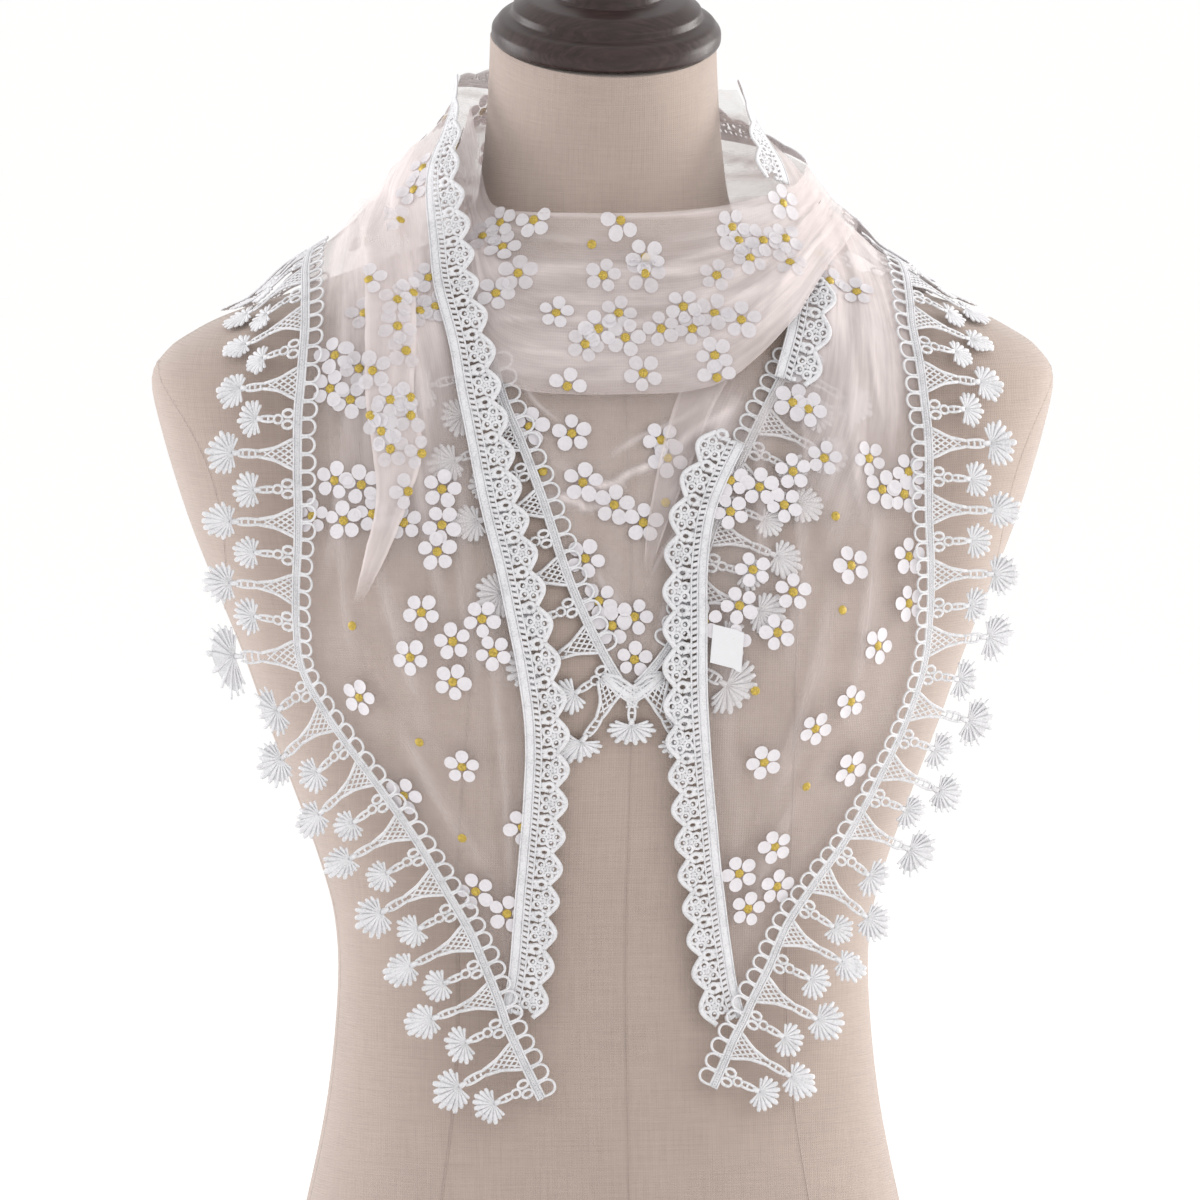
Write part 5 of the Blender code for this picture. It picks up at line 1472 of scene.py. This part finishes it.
def torso_cover(material):
    """The smooth linen-covered torso with its neck, with its cover's flat places in metres."""
    rings = finer(FORM_RINGS)
    columns = FORM_SEGMENTS + 1
    points, flat = [], []
    for ring in rings:
        line = [ring_point(ring, math.pi / 2 + TURN * step / FORM_SEGMENTS) for step in range(columns)]
        lengths = run_lengths(line)
        points += line
        flat += [(length - lengths[-1] / 2, ring.z * MM) for length in lengths]
    faces = strips(len(rings), columns) + end_faces(0, len(points) - columns, FORM_SEGMENTS)
    item = mesh_object("torso_cover", points, faces, material)
    set_uv(item.data, flat)
    item.data.set_sharp_from_angle(angle=math.radians(60))
    return item


def ridge(points):
    """Points of a low welt along a line on the form, with its section at each of them."""
    places = []
    for index, point in enumerate(points):
        hit, normal, _, _ = FORM.find_nearest(point)
        ahead = points[min(index + 1, len(points) - 1)] - points[max(index - 1, 0)]
        side = ahead.normalized().cross(normal).normalized()
        for aside, up in WELT:
            places.append(hit + side * SEAM_HALF * aside + normal * (WELT_FOOT if up is None else SEAM_RISE * up))
    return places


def seam_lines():
    """Lines of the cover's seams: both middles, the bust lines, sides, shoulders and armholes."""

    def cast(starts, way):
        """Where rays from the starts meet the form."""
        hits = [FORM.ray_cast(Vector(start), Vector(way))[0] for start in starts]
        return [hit for hit in hits if hit]

    lines = [cast([(0.0, y, z * MM) for z in range(4, 548, 6)], (0, -y, 0)) for y in (-1.0, 1.0)]
    for side in (-1, 1):
        for seam, y in ((FRONT_SEAM, -1.0), (BACK_SEAM, 1.0)):
            lines.append(cast([(side * x * MM, y, z * MM) for x, z in spline(seam, SEAM_STEPS)], (0, -y, 0)))
        lines.append(cast([(side, SIDE_SEAM_Y, z * MM) for z in range(4, 374, 6)], (-side, 0, 0)))
        lines.append(cast([(side * x * MM, SHOULDER_LINE_Y, 1.0) for x in range(62, 196, 4)], (0, 0, -1)))
        hole = []
        for step in range(ARMHOLE_STEPS + 1):
            angle = TURN * step / ARMHOLE_STEPS
            hole.append(
                (side, ARMHOLE_Y + ARMHOLE_RADIUS * math.cos(angle), ARMHOLE_UP + ARMHOLE_RADIUS * math.sin(angle))
            )
        lines.append(cast(hole, (-side, 0, 0)))
    return lines


def linen_seams(material):
    """The sewn seams of the linen cover, as low welts."""
    points, faces = [], []
    for line in seam_lines():
        faces += strips(len(line), len(WELT), start=len(points))
        points += ridge(line)
    item = mesh_object("linen_seams", points, faces, material)
    set_uv(item.data, [(point.x, point.z) for point in points])
    return item


def turned_cap(material):
    """The turned wooden cap on the neck's tilted top, with softly rounded mouldings."""
    top = FORM_RINGS[-1]
    middle = Vector((0.0, (top.front + top.back) / 2 * MM, top.z * MM))
    lean = math.atan(math.sin(NECK_TILT))
    axis = Vector((0.0, -math.sin(lean), math.cos(lean)))
    forward = Vector((0.0, math.cos(lean), math.sin(lean)))
    profile = [(0.0, CAP_PROFILE[0].height)]
    for near, far in zip(CAP_PROFILE, CAP_PROFILE[1:]):
        steps = max(2, round(math.dist(near, far) / CAP_STEP))
        profile += crossing(near, far, [step / steps for step in range(steps)])
    profile.append(tuple(CAP_PROFILE[-1]))
    profile.append((0.0, CAP_PROFILE[-1].height + 0.6))
    for _ in range(2):
        inner = [
            tuple((a + 2 * b + c) / 4 for a, b, c in zip(before, here, after))
            for before, here, after in zip(profile, profile[1:], profile[2:])
        ]
        profile = [profile[0]] + inner + [profile[-1]]
    points, flat = [], []
    for radius, height in profile:
        for step in range(CAP_SEGMENTS):
            angle = TURN * step / CAP_SEGMENTS
            across = Vector((math.cos(angle), 0.0, 0.0)) + forward * math.sin(angle)
            points.append(middle + axis * height * MM + across * radius * MM)
            flat.append((radius * MM * math.cos(angle), radius * MM * math.sin(angle) + height * MM))
    item = mesh_object("turned_cap", points, strips(len(profile), CAP_SEGMENTS, True), material)
    set_uv(item.data, flat)
    return item


def blank_label(material):
    """The small blank label on the right selvage, a little curled at its free corner."""
    shares = [step / (LABEL_ROWS - 1) for step in range(LABEL_ROWS)]
    grid = []
    for down in shares:
        line = []
        for share in shares:
            across = LABEL_LOW.across + (LABEL_HIGH.across - LABEL_LOW.across) * share + LABEL_LEAN * down
            up = LABEL_LOW.up + (LABEL_HIGH.up - LABEL_LOW.up) * down - LABEL_HANG * share
            curl = LABEL_CURL * share**2 * (1.0 - down) + LABEL_STAND * share
            line.append(seat(seen(across, up, BRIDGE), LOW_LIFT + LACE_STEP + curl, BRIDGE))
        grid.append(line)
    return shell("blank_label", grid, np.zeros((LABEL_ROWS, LABEL_ROWS)), material)


def lit(colour, share):
    """A colour made lighter or darker."""
    return tuple(min(1.0, part * share) for part in colour)


class Finish:
    """A node material in the making, with constants on the shader's own sockets."""

    def __init__(self, name, roughness, **constants):
        self.material = bpy.data.materials.new(name)
        self.material.use_nodes = True
        self.tree = self.material.node_tree
        self.inputs = self.tree.nodes["Principled BSDF"].inputs
        self.inputs["Roughness"].default_value = roughness
        for key, value in constants.items():
            self.inputs[key.replace("_", " ")].default_value = value

    def node(self, kind, output, links, **settings):
        """The output of a node with its settings, and its inputs linked or set by name or number."""
        made = self.tree.nodes.new("ShaderNode" + kind)
        for key, value in settings.items():
            setattr(made, key, value)
        for key, value in links.items():
            if isinstance(value, bpy.types.NodeSocket):
                self.tree.links.new(value, made.inputs[key])
            else:
                made.inputs[key].default_value = value
        return made.outputs[output]

    def link(self, value, name):
        """A value that varies over the surface, led to the shader's socket."""
        self.tree.links.new(value, self.inputs[name])

    def flat(self, across, along):
        """The piece's flat places in metres, stretched across and along."""
        places = self.node("UVMap", "UV", {}, uv_map="flat")
        return self.node("Mapping", "Vector", {"Vector": places, "Scale": (across, along, 1.0)})

    def body(self, *scale):
        """Places in the object's own metres, stretched by a scale."""
        return self.node("Mapping", "Vector", {"Vector": self.node("TexCoord", "Object", {}), "Scale": scale})

    def noise(self, places, detail, roughness=0.55, scale=1.0):
        """A noise value over places."""
        links = {"Vector": places, "Scale": scale, "Detail": detail, "Roughness": roughness}
        return self.node("TexNoise", "Fac", links)

    def grain(self, scale):
        """An even noise through the object, finer with a larger scale."""
        return self.noise(self.body(scale, scale, scale), 2.0)

    def maths(self, operation, *values, clamp=False):
        """A sum, product or other rule on values."""
        return self.node("Math", "Value", dict(enumerate(values)), operation=operation, use_clamp=clamp)

    def total(self, *parts):
        """The sum of values, each times its share."""
        result = None
        for value, share in parts:
            value = value if share == 1 else self.maths("MULTIPLY", value, share)
            result = self.maths("ADD", result, value) if result else value
        return result

    def spread(self, value, low, high, to_low=0.0, to_high=1.0):
        """A value moved from one range to another."""
        links = {"Value": value, "From Min": low, "From Max": high, "To Min": to_low, "To Max": to_high}
        return self.node("MapRange", "Result", links)

    def colour(self, value, name, *shares, shade=1.0):
        """The surface's colour: one of the settings, lighter or darker as the value goes from 0 to 1."""
        base = lit(getattr(bpy.context.scene.shawl_colours, name), shade)
        ramp = self.node("ValToRGB", "Color", {"Fac": value})
        stops = ramp.node.color_ramp.elements
        while len(stops) < len(shares):
            stops.new(0.5)
        for index, share in enumerate(shares):
            stops[index].position = index / (len(shares) - 1)
            stops[index].color = (*lit(base, share), 1.0)
        self.link(ramp, "Base Color")

    def bump(self, height, strength, distance):
        """Relief on the surface from a height."""
        self.link(self.node("Bump", "Normal", {"Height": height, "Strength": strength, "Distance": distance}), "Normal")


def linen_material(name, shade):
    """Coarse woven linen with slubs both ways and a soft unevenness."""
    finish = Finish(name, 0.92, Sheen_Weight=0.25, Sheen_Roughness=0.5, Specular_IOR_Level=0.2)
    plain = finish.flat(1.0, 1.0)
    scale = WAVE_SCALE / sizes().weave
    settings = {"Vector": plain, "Scale": scale, "Distortion": 1.6, "Detail": 2.0, "Detail Scale": 0.6}
    warp, weft = (finish.node("TexWave", "Fac", settings, bands_direction=way) for way in "XY")
    slub_across, slub_up = (finish.noise(finish.flat(*scale), 3.0, 0.6) for scale in ((45.0, 900.0), (900.0, 45.0)))
    slubs = finish.total((slub_across, 0.5), (slub_up, 0.5))
    threads = finish.maths("MAXIMUM", warp, weft)
    tone = finish.total((slubs, 1.1), (threads, 0.22), (finish.noise(plain, 2.0, scale=22.0), 0.35))
    finish.colour(finish.spread(tone, 0.55, 1.15), "linen", 0.84, 1.0, 1.12, shade=shade)
    finish.bump(finish.total((threads, 1), (slubs, 1.6)), 0.35, 0.00035)
    return finish.material


def wood_material():
    """Dark stained turned wood with a satin finish and fine pores."""
    finish = Finish("dark_turned_wood", 0.34, Specular_IOR_Level=0.32)
    grain = finish.noise(finish.body(60.0, 700.0, 260.0), 4.0, 0.6)
    pores = finish.noise(finish.body(240.0, 1600.0, 1600.0), 2.0)
    finish.colour(finish.spread(grain, 0.3, 0.7), "wood", 0.65, 1.0, 1.6)
    finish.link(finish.spread(grain, 0.2, 0.8, 0.26, 0.44), "Roughness")
    finish.bump(finish.maths("ADD", grain, pores), 0.15, 0.0002)
    return finish.material


def tulle_material(name, clear, close, combed):
    """Sheer net of fine threads, closer and whiter where it is gathered and folded."""
    finish = Finish(name, 0.75, Sheen_Weight=0.3, Sheen_Roughness=0.4, Specular_IOR_Level=0.3)
    finish.material.use_transparent_shadow = True
    mesh = sizes().net_mesh
    cells = {"Vector": finish.flat(1 / mesh, 1 / mesh), "Scale": 1.0, "Randomness": 0.35}
    net = finish.node("TexVoronoi", "Distance", cells, feature="DISTANCE_TO_EDGE")
    threads = finish.spread(net, 0.04, 0.16, 1.0, 0.0)
    gather = finish.node("Attribute", "Fac", {}, attribute_name="gather")
    streak, crumple = (finish.noise(finish.flat(*scale), 3.0, 0.6) for scale in ((190.0, 15.0), (110.0, 40.0)))
    streak = finish.spread(streak, 0.33, 0.70, 1.0 - combed, 1.0 + 0.4 * combed)
    crumple = finish.spread(crumple, 0.3, 0.7, 0.7, 1.25)
    plain = finish.maths("ADD", clear * 0.75, finish.maths("MULTIPLY", threads, clear * 0.35))
    plain = finish.maths("MULTIPLY", plain, crumple)
    folded = finish.maths("MULTIPLY", finish.maths("MULTIPLY", gather, streak), close)
    finish.link(finish.maths("ADD", plain, folded, clamp=True), "Alpha")
    finish.colour(finish.spread(crumple, 0.7, 1.25), "tulle", 0.95, 1.0, 1.04)
    finish.bump(finish.total((streak, 1), (threads, 0.3)), 0.12, 0.0003)
    return finish.material


def lace_material():
    """Matt machine lace of both trims, made once: thick threads with the grain of close stitching, whose darker spots
    are painted shade standing for the pits in the stitching.
    """
    name = "matt_lace"
    if name in bpy.data.materials:
        return bpy.data.materials[name]
    finish = Finish(name, 0.85, Sheen_Weight=0.15, Sheen_Roughness=0.5, Specular_IOR_Level=0.25)
    stitch_grain_and_pit_shade = finish.grain(1300.0)
    tone = finish.total((stitch_grain_and_pit_shade, 0.6), (finish.grain(150.0), 0.4))
    # Tone: the fine stitch grain, whose darker spots are painted shade in the pits of the stitching, and a coarse
    # random unevenness
    finish.colour(finish.spread(tone, 0.35, 0.65), "lace", 0.80, 1.0, 1.08)
    finish.bump(stitch_grain_and_pit_shade, 0.5, 0.0003)
    return finish.material


def petal_material():
    """White matt flock of the flowers, a little uneven."""
    finish = Finish("flower_petals", 0.9, Sheen_Weight=0.2, Specular_IOR_Level=0.2)
    flock = finish.grain(700.0)
    finish.colour(finish.spread(flock, 0.3, 0.7), "petal", 0.92, 1.0)
    veil = finish.node("Attribute", "Fac", {}, attribute_name="veil")
    finish.link(finish.maths("SUBTRACT", 0.95, finish.maths("MULTIPLY", veil, VEILED)), "Alpha")
    finish.bump(flock, 0.3, 0.0003)
    return finish.material


def gold_material():
    """Raised gold glitter of the dots in the flowers."""
    finish = Finish("gold_dots", 0.45, Metallic=0.35)
    grains = finish.grain(1800.0)
    finish.colour(finish.spread(grains, 0.3, 0.7), "gold", 0.55, 1.0, 1.5)
    finish.link(finish.spread(grains, 0.2, 0.8, 0.3, 0.6), "Roughness")
    finish.bump(grains, 0.6, 0.0003)
    return finish.material


def label_material():
    """Smooth woven tape of the blank label."""
    finish = Finish("woven_tape", 0.5, Sheen_Weight=0.2)
    ribs = {"Vector": finish.flat(1.0, 1.0), "Scale": 500.0, "Distortion": 0.3}
    tape = finish.node("TexWave", "Fac", ribs, bands_direction="Y")
    finish.colour(tape, "label", 0.95, 1.0)
    finish.bump(tape, 0.3, 0.0002)
    return finish.material


def floor_material():
    """Plain pale floor, barely uneven."""
    finish = Finish("pale_floor", 0.9, Specular_IOR_Level=0.1)
    finish.colour(finish.grain(0.4), "floor", 0.995, 1.0)
    return finish.material


def finish_piece(item, slot, *nodes):
    """The piece rides on the one body and stands for its nodes; its slot is not used."""
    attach(item, "root")
    if nodes:
        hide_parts(*nodes)
    return item


# The cloths by name, the surfaces that other pieces are laid on, and the trims that each cloth carries
LAID = {}
TRIMS = {}


def lay_cloth(item, key, node_name):
    """Keeps a finished piece of cloth and its surface for what is laid on it."""
    finish_piece(item, "tulle", node_name)
    LAID[key] = surface_of(item)


def sew_on(item, key, slot, *nodes):
    """Keeps a finished trim with the cloth that carries it."""
    TRIMS.setdefault(key, []).append(finish_piece(item, slot, *nodes))
    return item


def nape_lean(along, length):
    """How far the nape's lace stands up, lower where it comes out beside the neck."""
    return NAPE_LOW + (1.0 - NAPE_LOW) * smooth_step(0.04, 0.34, min(along, length - along) / length)


def crest_lean(along, length):
    """How far a lace reaches beyond its cloth's edge as seen, narrower where it turns over the shoulder."""
    return CREST_LOW + (1.0 - CREST_LOW) * smooth_step(0.0, min(CREST_LEAN, length), along)


class SHAWL_OT_dress_form(Operator):
    """Builds the linen-covered torso with its seams"""

    bl_idname = "shawl.dress_form"
    bl_label = "Dress form"

    def execute(self, context):
        torso = torso_cover(linen_material("coarse_linen", 1.0))
        finish_piece(torso, "linen", "form_torso")
        finish_piece(linen_seams(linen_material("linen_welt", 0.92)), "linen")
        return {"FINISHED"}


class SHAWL_OT_neck_cap(Operator):
    """Builds the turned wooden cap of the neck"""

    bl_idname = "shawl.neck_cap"
    bl_label = "Neck cap"

    def execute(self, context):
        finish_piece(turned_cap(wood_material()), "dark_wood", "form_neck_cap")
        return {"FINISHED"}


class SHAWL_OT_tulle(Operator):
    """Builds the wound tulle: the V, the band, both ends, the stretches behind and the loose folds"""

    bl_idname = "shawl.tulle"
    bl_label = "Tulle"

    def execute(self, context):
        sheer = tulle_material("sheer_tulle", 0.19, 0.90, 0.30)
        lay_cloth(front_bib(sheer), "bib", "front_bib")
        lay_cloth(throat_band(sheer), "band", "front_band")
        for key, *shape in (
            ("left", LEFT_END, LEFT_CREST, 180, LEFT_GATHERS, left_lift, LEFT_END_CREASES, LEFT_END_CLOUDS),
            ("right", RIGHT_END, RIGHT_CREST, 0, RIGHT_GATHERS, right_lift, RIGHT_END_CREASES, RIGHT_END_CLOUDS),
        ):
            lay_cloth(hanging_end(f"{key}_end_tulle", *shape, sheer), key, f"{key}_end")
        for key, *shape, fronts in (
            (
                "over", BACK_OVER, BAND_RIGHT_CREST, LEFT_CREST, HIGH_LIFT, False,
                BACK_OVER_CREASES, BACK_OVER_CLOUDS, (BAND_CLOUDS, LEFT_END_CLOUDS),
            ),
            (
                "under", BACK_UNDER, RIGHT_CREST, BAND_LEFT_CREST, LOW_LIFT, True,
                BACK_UNDER_CREASES, BACK_UNDER_CLOUDS, (RIGHT_END_CLOUDS, LEFT_END_CLOUDS),
            ),
        ):
            lay_cloth(back_stretch(f"back_{key}_tulle", *shape, fronts, sheer), key, f"back_{key}")
        folded = tulle_material("folded_tulle", 0.08, 0.92, 0.15)
        for key, rows, base, under, peak, close in (
            ("left", LEFT_PLEAT, BRIDGE, "left", LEFT_PLEAT_PEAK, LEFT_PLEAT_CLOSE),
            ("right", RIGHT_PLEAT, FORM, "bib", RIGHT_PLEAT_PEAK, RIGHT_PLEAT_CLOSE),
        ):
            fold = loose_fold(f"{key}_fold_tulle", rows, base, LAID[under], peak, close, folded)
            lay_cloth(fold, f"{key}_fold", f"{key}_pleat")
        return {"FINISHED"}


class SHAWL_OT_scalloped_laces(Operator):
    """Builds the scalloped lace along the triangle's long side"""

    bl_idname = "shawl.scalloped_laces"
    bl_label = "Scalloped lace"

    def execute(self, context):
        def sewn(name, points, lift, side, key, node_name, leans=None):
            """One stretch of scalloped lace, laid on its cloth."""
            edge = Edge(points, BRIDGE, lace_lift(lift), side, [LAID[key]])
            return sew_on(scalloped_lace(name, edge, lace_material(), leans), key, "lace", node_name)

        def inner(rows, low=0.0, high=math.inf):
            """The path under the inner edge of an end, between two heights."""
            return front_path([(row.in_across, row.in_up) for row in rows if low < row.in_up < high], BRIDGE)

        points = from_shoulder(inner(LEFT_END), 180, LEFT_CREST[0], -CREST_GAP)
        item = sewn("left_scallops", points, left_lift, -1, "left", "left_scallop_lace", crest_lean)
        LAID["left_scallops"] = surface_of(item)
        points = inner(RIGHT_END, high=TURN_LOW)
        item = sewn("right_scallops", points, right_lift, 1, "right", "right_scallop_lace")
        LAID["right_scallops"] = surface_of(item)
        points = inner(RIGHT_END, TURN_LOW, TURN_HIGH)
        sewn("turned_scallops", points, right_lift, -1, "right", "right_scallop_turned")
        points = from_shoulder(inner(RIGHT_END, NAPE_FROM), 0, RIGHT_CREST[0], -CREST_GAP)
        sewn("right_nape_scallops", points, right_lift, 1, "right", "right_scallop_nape", crest_lean)
        points = back_path(BACK_OVER, BACK_TOP, BAND_RIGHT_CREST[0], NAPE_LACE_TO)
        sewn("nape_scallops", points, lambda up: HIGH_LIFT, -1, "over", "nape_scallop_lace", nape_lean)
        return {"FINISHED"}


class SHAWL_OT_fan_laces(Operator):
    """Builds the fan-tasselled lace along the triangle's two short sides"""

    bl_idname = "shawl.fan_laces"
    bl_label = "Fan lace"

    def execute(self, context):
        lace = lace_material()

        def sewn(name, edge, key, node_name, bare_end=0.0):
            """One stretch of fan lace, laid on its cloth."""
            return sew_on(fan_lace(name, edge, lace, bare_end), key, "lace", node_name)

        for way, places, side in (("left", BIB_LEFT, 1), ("right", BIB_RIGHT, -1)):
            edge = Edge(front_path(places, FORM), FORM, lambda point: BIB_LACE_LIFT, side, [LAID["bib"]])
            sewn(f"bib_fans_{way}", edge, "bib", f"bib_tassel_lace_{way}", BIB_POINT_BARE)
        edge = Edge(front_path(BIB_POINT, FORM), FORM, lambda point: BIB_LACE_LIFT + POINT_LIFT, 1, [LAID["bib"]])
        sew_on(point_fans("bib_fans_point", edge, lace), "bib", "lace")
        for key, rows, degrees, crest, tip, lift, side in (
            ("left", LEFT_END, 180, LEFT_CREST, LEFT_TIP, left_lift, 1),
            ("right", RIGHT_END, 0, RIGHT_CREST, RIGHT_TIP, right_lift, -1),
        ):
            outer = [(row.out_across, row.out_up) for row in rows] + tip
            points = from_shoulder(front_path(outer, BRIDGE), degrees, crest[-1], -CREST_GAP)
            covers = [LAID[key], LAID[key + "_scallops"]]
            edge = Edge(points, BRIDGE, lace_lift(lift, TIP_LIFT_FROM), side, covers, FAN_STAND, fan_stiffness)
            sewn(f"{key}_fans", edge, key, f"{key}_tassel_lace")
        points = back_path(BACK_UNDER, BACK_LOW, RIGHT_CREST[-1], UNDER_LACE_TO)
        edge = Edge(points, BRIDGE, lace_lift(lambda up: LOW_LIFT), 1, [LAID["under"]])
        under = surface_of(sewn("back_under_fans", edge, "under", "back_tassel_lace_under"))
        points = back_path(BACK_OVER, BACK_LOW, BAND_RIGHT_CREST[-1], 180)
        points += from_shoulder([], 180, LEFT_CREST[-1], CREST_GAP)
        edge = Edge(points, BRIDGE, lace_lift(lambda up: HIGH_LIFT), 1, [LAID["over"], LAID["under"], under])
        sewn("back_over_fans", edge, "over", "back_tassel_lace_over")
        return {"FINISHED"}


class SHAWL_OT_flowers(Operator):
    """Lays the flowers and the lone gold dots on the tulle"""

    bl_idname = "shawl.flowers"
    bl_label = "Flowers"

    def execute(self, context):
        looks = (petal_material(), gold_material())
        fronts = ("left", "right", "band", "bib")
        for key, items in (
            ("left", front_flowers("left_end", LEFT_FLOWERS, ("left", "left_fold"), 0, looks, LEFT_END_CLOUDS)),
            ("right", front_flowers("right_end", RIGHT_FLOWERS, ("right",), 100, looks, RIGHT_END_CLOUDS)),
            ("band", front_flowers("band", BAND_FLOWERS, ("band",), 200, looks, BAND_CLOUDS)),
            ("bib", front_flowers("bib", BIB_FLOWERS, ("bib",), 300, looks, BIB_CLOUDS)),
            ("over", back_flowers("back_over", BACK_OVER_FLOWERS, "over", 400, looks)),
            ("under", back_flowers("back_under", BACK_UNDER_FLOWERS, "under", 500, looks)),
            ("lone", front_flowers("lone", BARE_DOTS, fronts, 600, looks, whole=False)),
        ):
            for item in items:
                sew_on(item, key, "tulle")
        return {"FINISHED"}


class SHAWL_OT_blank_label(Operator):
    """Builds the small blank label on the right selvage"""

    bl_idname = "shawl.blank_label"
    bl_label = "Blank label"

    def execute(self, context):
        sew_on(blank_label(label_material()), "right", "label_tape", "label")
        return {"FINISHED"}


class SHAWL_OT_flat_sizes(Operator):
    """Stands for the stretches' sizes as they were cut, but works out and says nothing"""

    bl_idname = "shawl.flat_sizes"
    bl_label = "Flat sizes"

    def execute(self, context):
        return {"FINISHED"}


def soft_light(lamp):
    """A square soft light that faces the middle of the form."""
    data = bpy.data.lights.new(lamp.name, "AREA")
    data.shape = "SQUARE"
    data.size = lamp.size
    data.energy = lamp.power
    data.color = lamp.colour
    item = placed(lamp.name, data)
    item.location = lamp.place
    item.rotation_euler = (Vector(FORM_MIDDLE) - Vector(lamp.place)).to_track_quat("-Z", "Y").to_euler()


class SHAWL_OT_stage(Operator):
    """Sets the pale floor, the soft studio light and the camera at the front view's angle"""

    bl_idname = "shawl.stage"
    bl_label = "Stage"

    def execute(self, context):
        scene = context.scene
        turns = np.linspace(0, TURN, FLOOR_SIDES + 1)[:-1]
        rim = [(FLOOR_REACH * math.cos(turn), FLOOR_REACH * math.sin(turn), 0.0) for turn in turns]
        floor = mesh_object("pale_floor", rim, [tuple(range(FLOOR_SIDES))], floor_material(), False)
        world = bpy.data.worlds.new("white_studio")
        world.use_nodes = True
        sky = world.node_tree.nodes["Background"].inputs
        sky["Color"].default_value = (*WORLD_COLOUR, 1.0)
        sky["Strength"].default_value = WORLD_LIGHT
        scene.world = world
        for lamp in LAMPS:
            soft_light(lamp)
        data = bpy.data.cameras.new("front_camera")
        data.sensor_width = SENSOR
        data.lens = SENSOR * VIEW_FAR / VIEW_FRAME
        data.clip_start = 0.5
        data.clip_end = 120.0
        camera = placed("front_camera", data)
        camera.location = in_view(*VIEW_AIM) - VIEW_AHEAD * (VIEW_FAR + VIEW_PLANE)
        camera.rotation_euler = VIEW_AHEAD.to_track_quat("-Z", "Y").to_euler()
        scene.camera = camera
        scene.view_settings.view_transform = "Standard"
        return {"FINISHED"}


class SHAWL_PT_panel(Panel):
    """The shawl's pieces, sizes and colours"""

    bl_idname = "SHAWL_PT_panel"
    bl_label = "Lace shawl"
    bl_space_type = "VIEW_3D"
    bl_region_type = "UI"
    bl_category = "Lace shawl"

    def draw(self, context):
        column = self.layout.column()
        for group in (context.scene.shawl_sizes, context.scene.shawl_colours):
            for name in group.__annotations__:
                column.prop(group, name)
        for operator in OPERATORS:
            column.operator(operator.bl_idname)


OPERATORS = (
    SHAWL_OT_dress_form,
    SHAWL_OT_neck_cap,
    SHAWL_OT_tulle,
    SHAWL_OT_scalloped_laces,
    SHAWL_OT_fan_laces,
    SHAWL_OT_flowers,
    SHAWL_OT_blank_label,
    SHAWL_OT_flat_sizes,
    SHAWL_OT_stage,
)
CLASSES = (ShawlSizes, ShawlColours, *OPERATORS, SHAWL_PT_panel)


def register():
    """Makes the classes and the scene's settings known to Blender."""
    for item in CLASSES:
        bpy.utils.register_class(item)
    bpy.types.Scene.shawl_sizes = PointerProperty(type=ShawlSizes)
    bpy.types.Scene.shawl_colours = PointerProperty(type=ShawlColours)


def unregister():
    """Takes the classes and the scene's settings out again."""
    del bpy.types.Scene.shawl_colours
    del bpy.types.Scene.shawl_sizes
    for item in reversed(CLASSES):
        bpy.utils.unregister_class(item)


def main():
    """Builds every piece and the stage."""
    register()
    for operator in OPERATORS:
        group, name = operator.bl_idname.split(".")
        getattr(getattr(bpy.ops, group), name)()


if __name__ == "__main__":
    main()
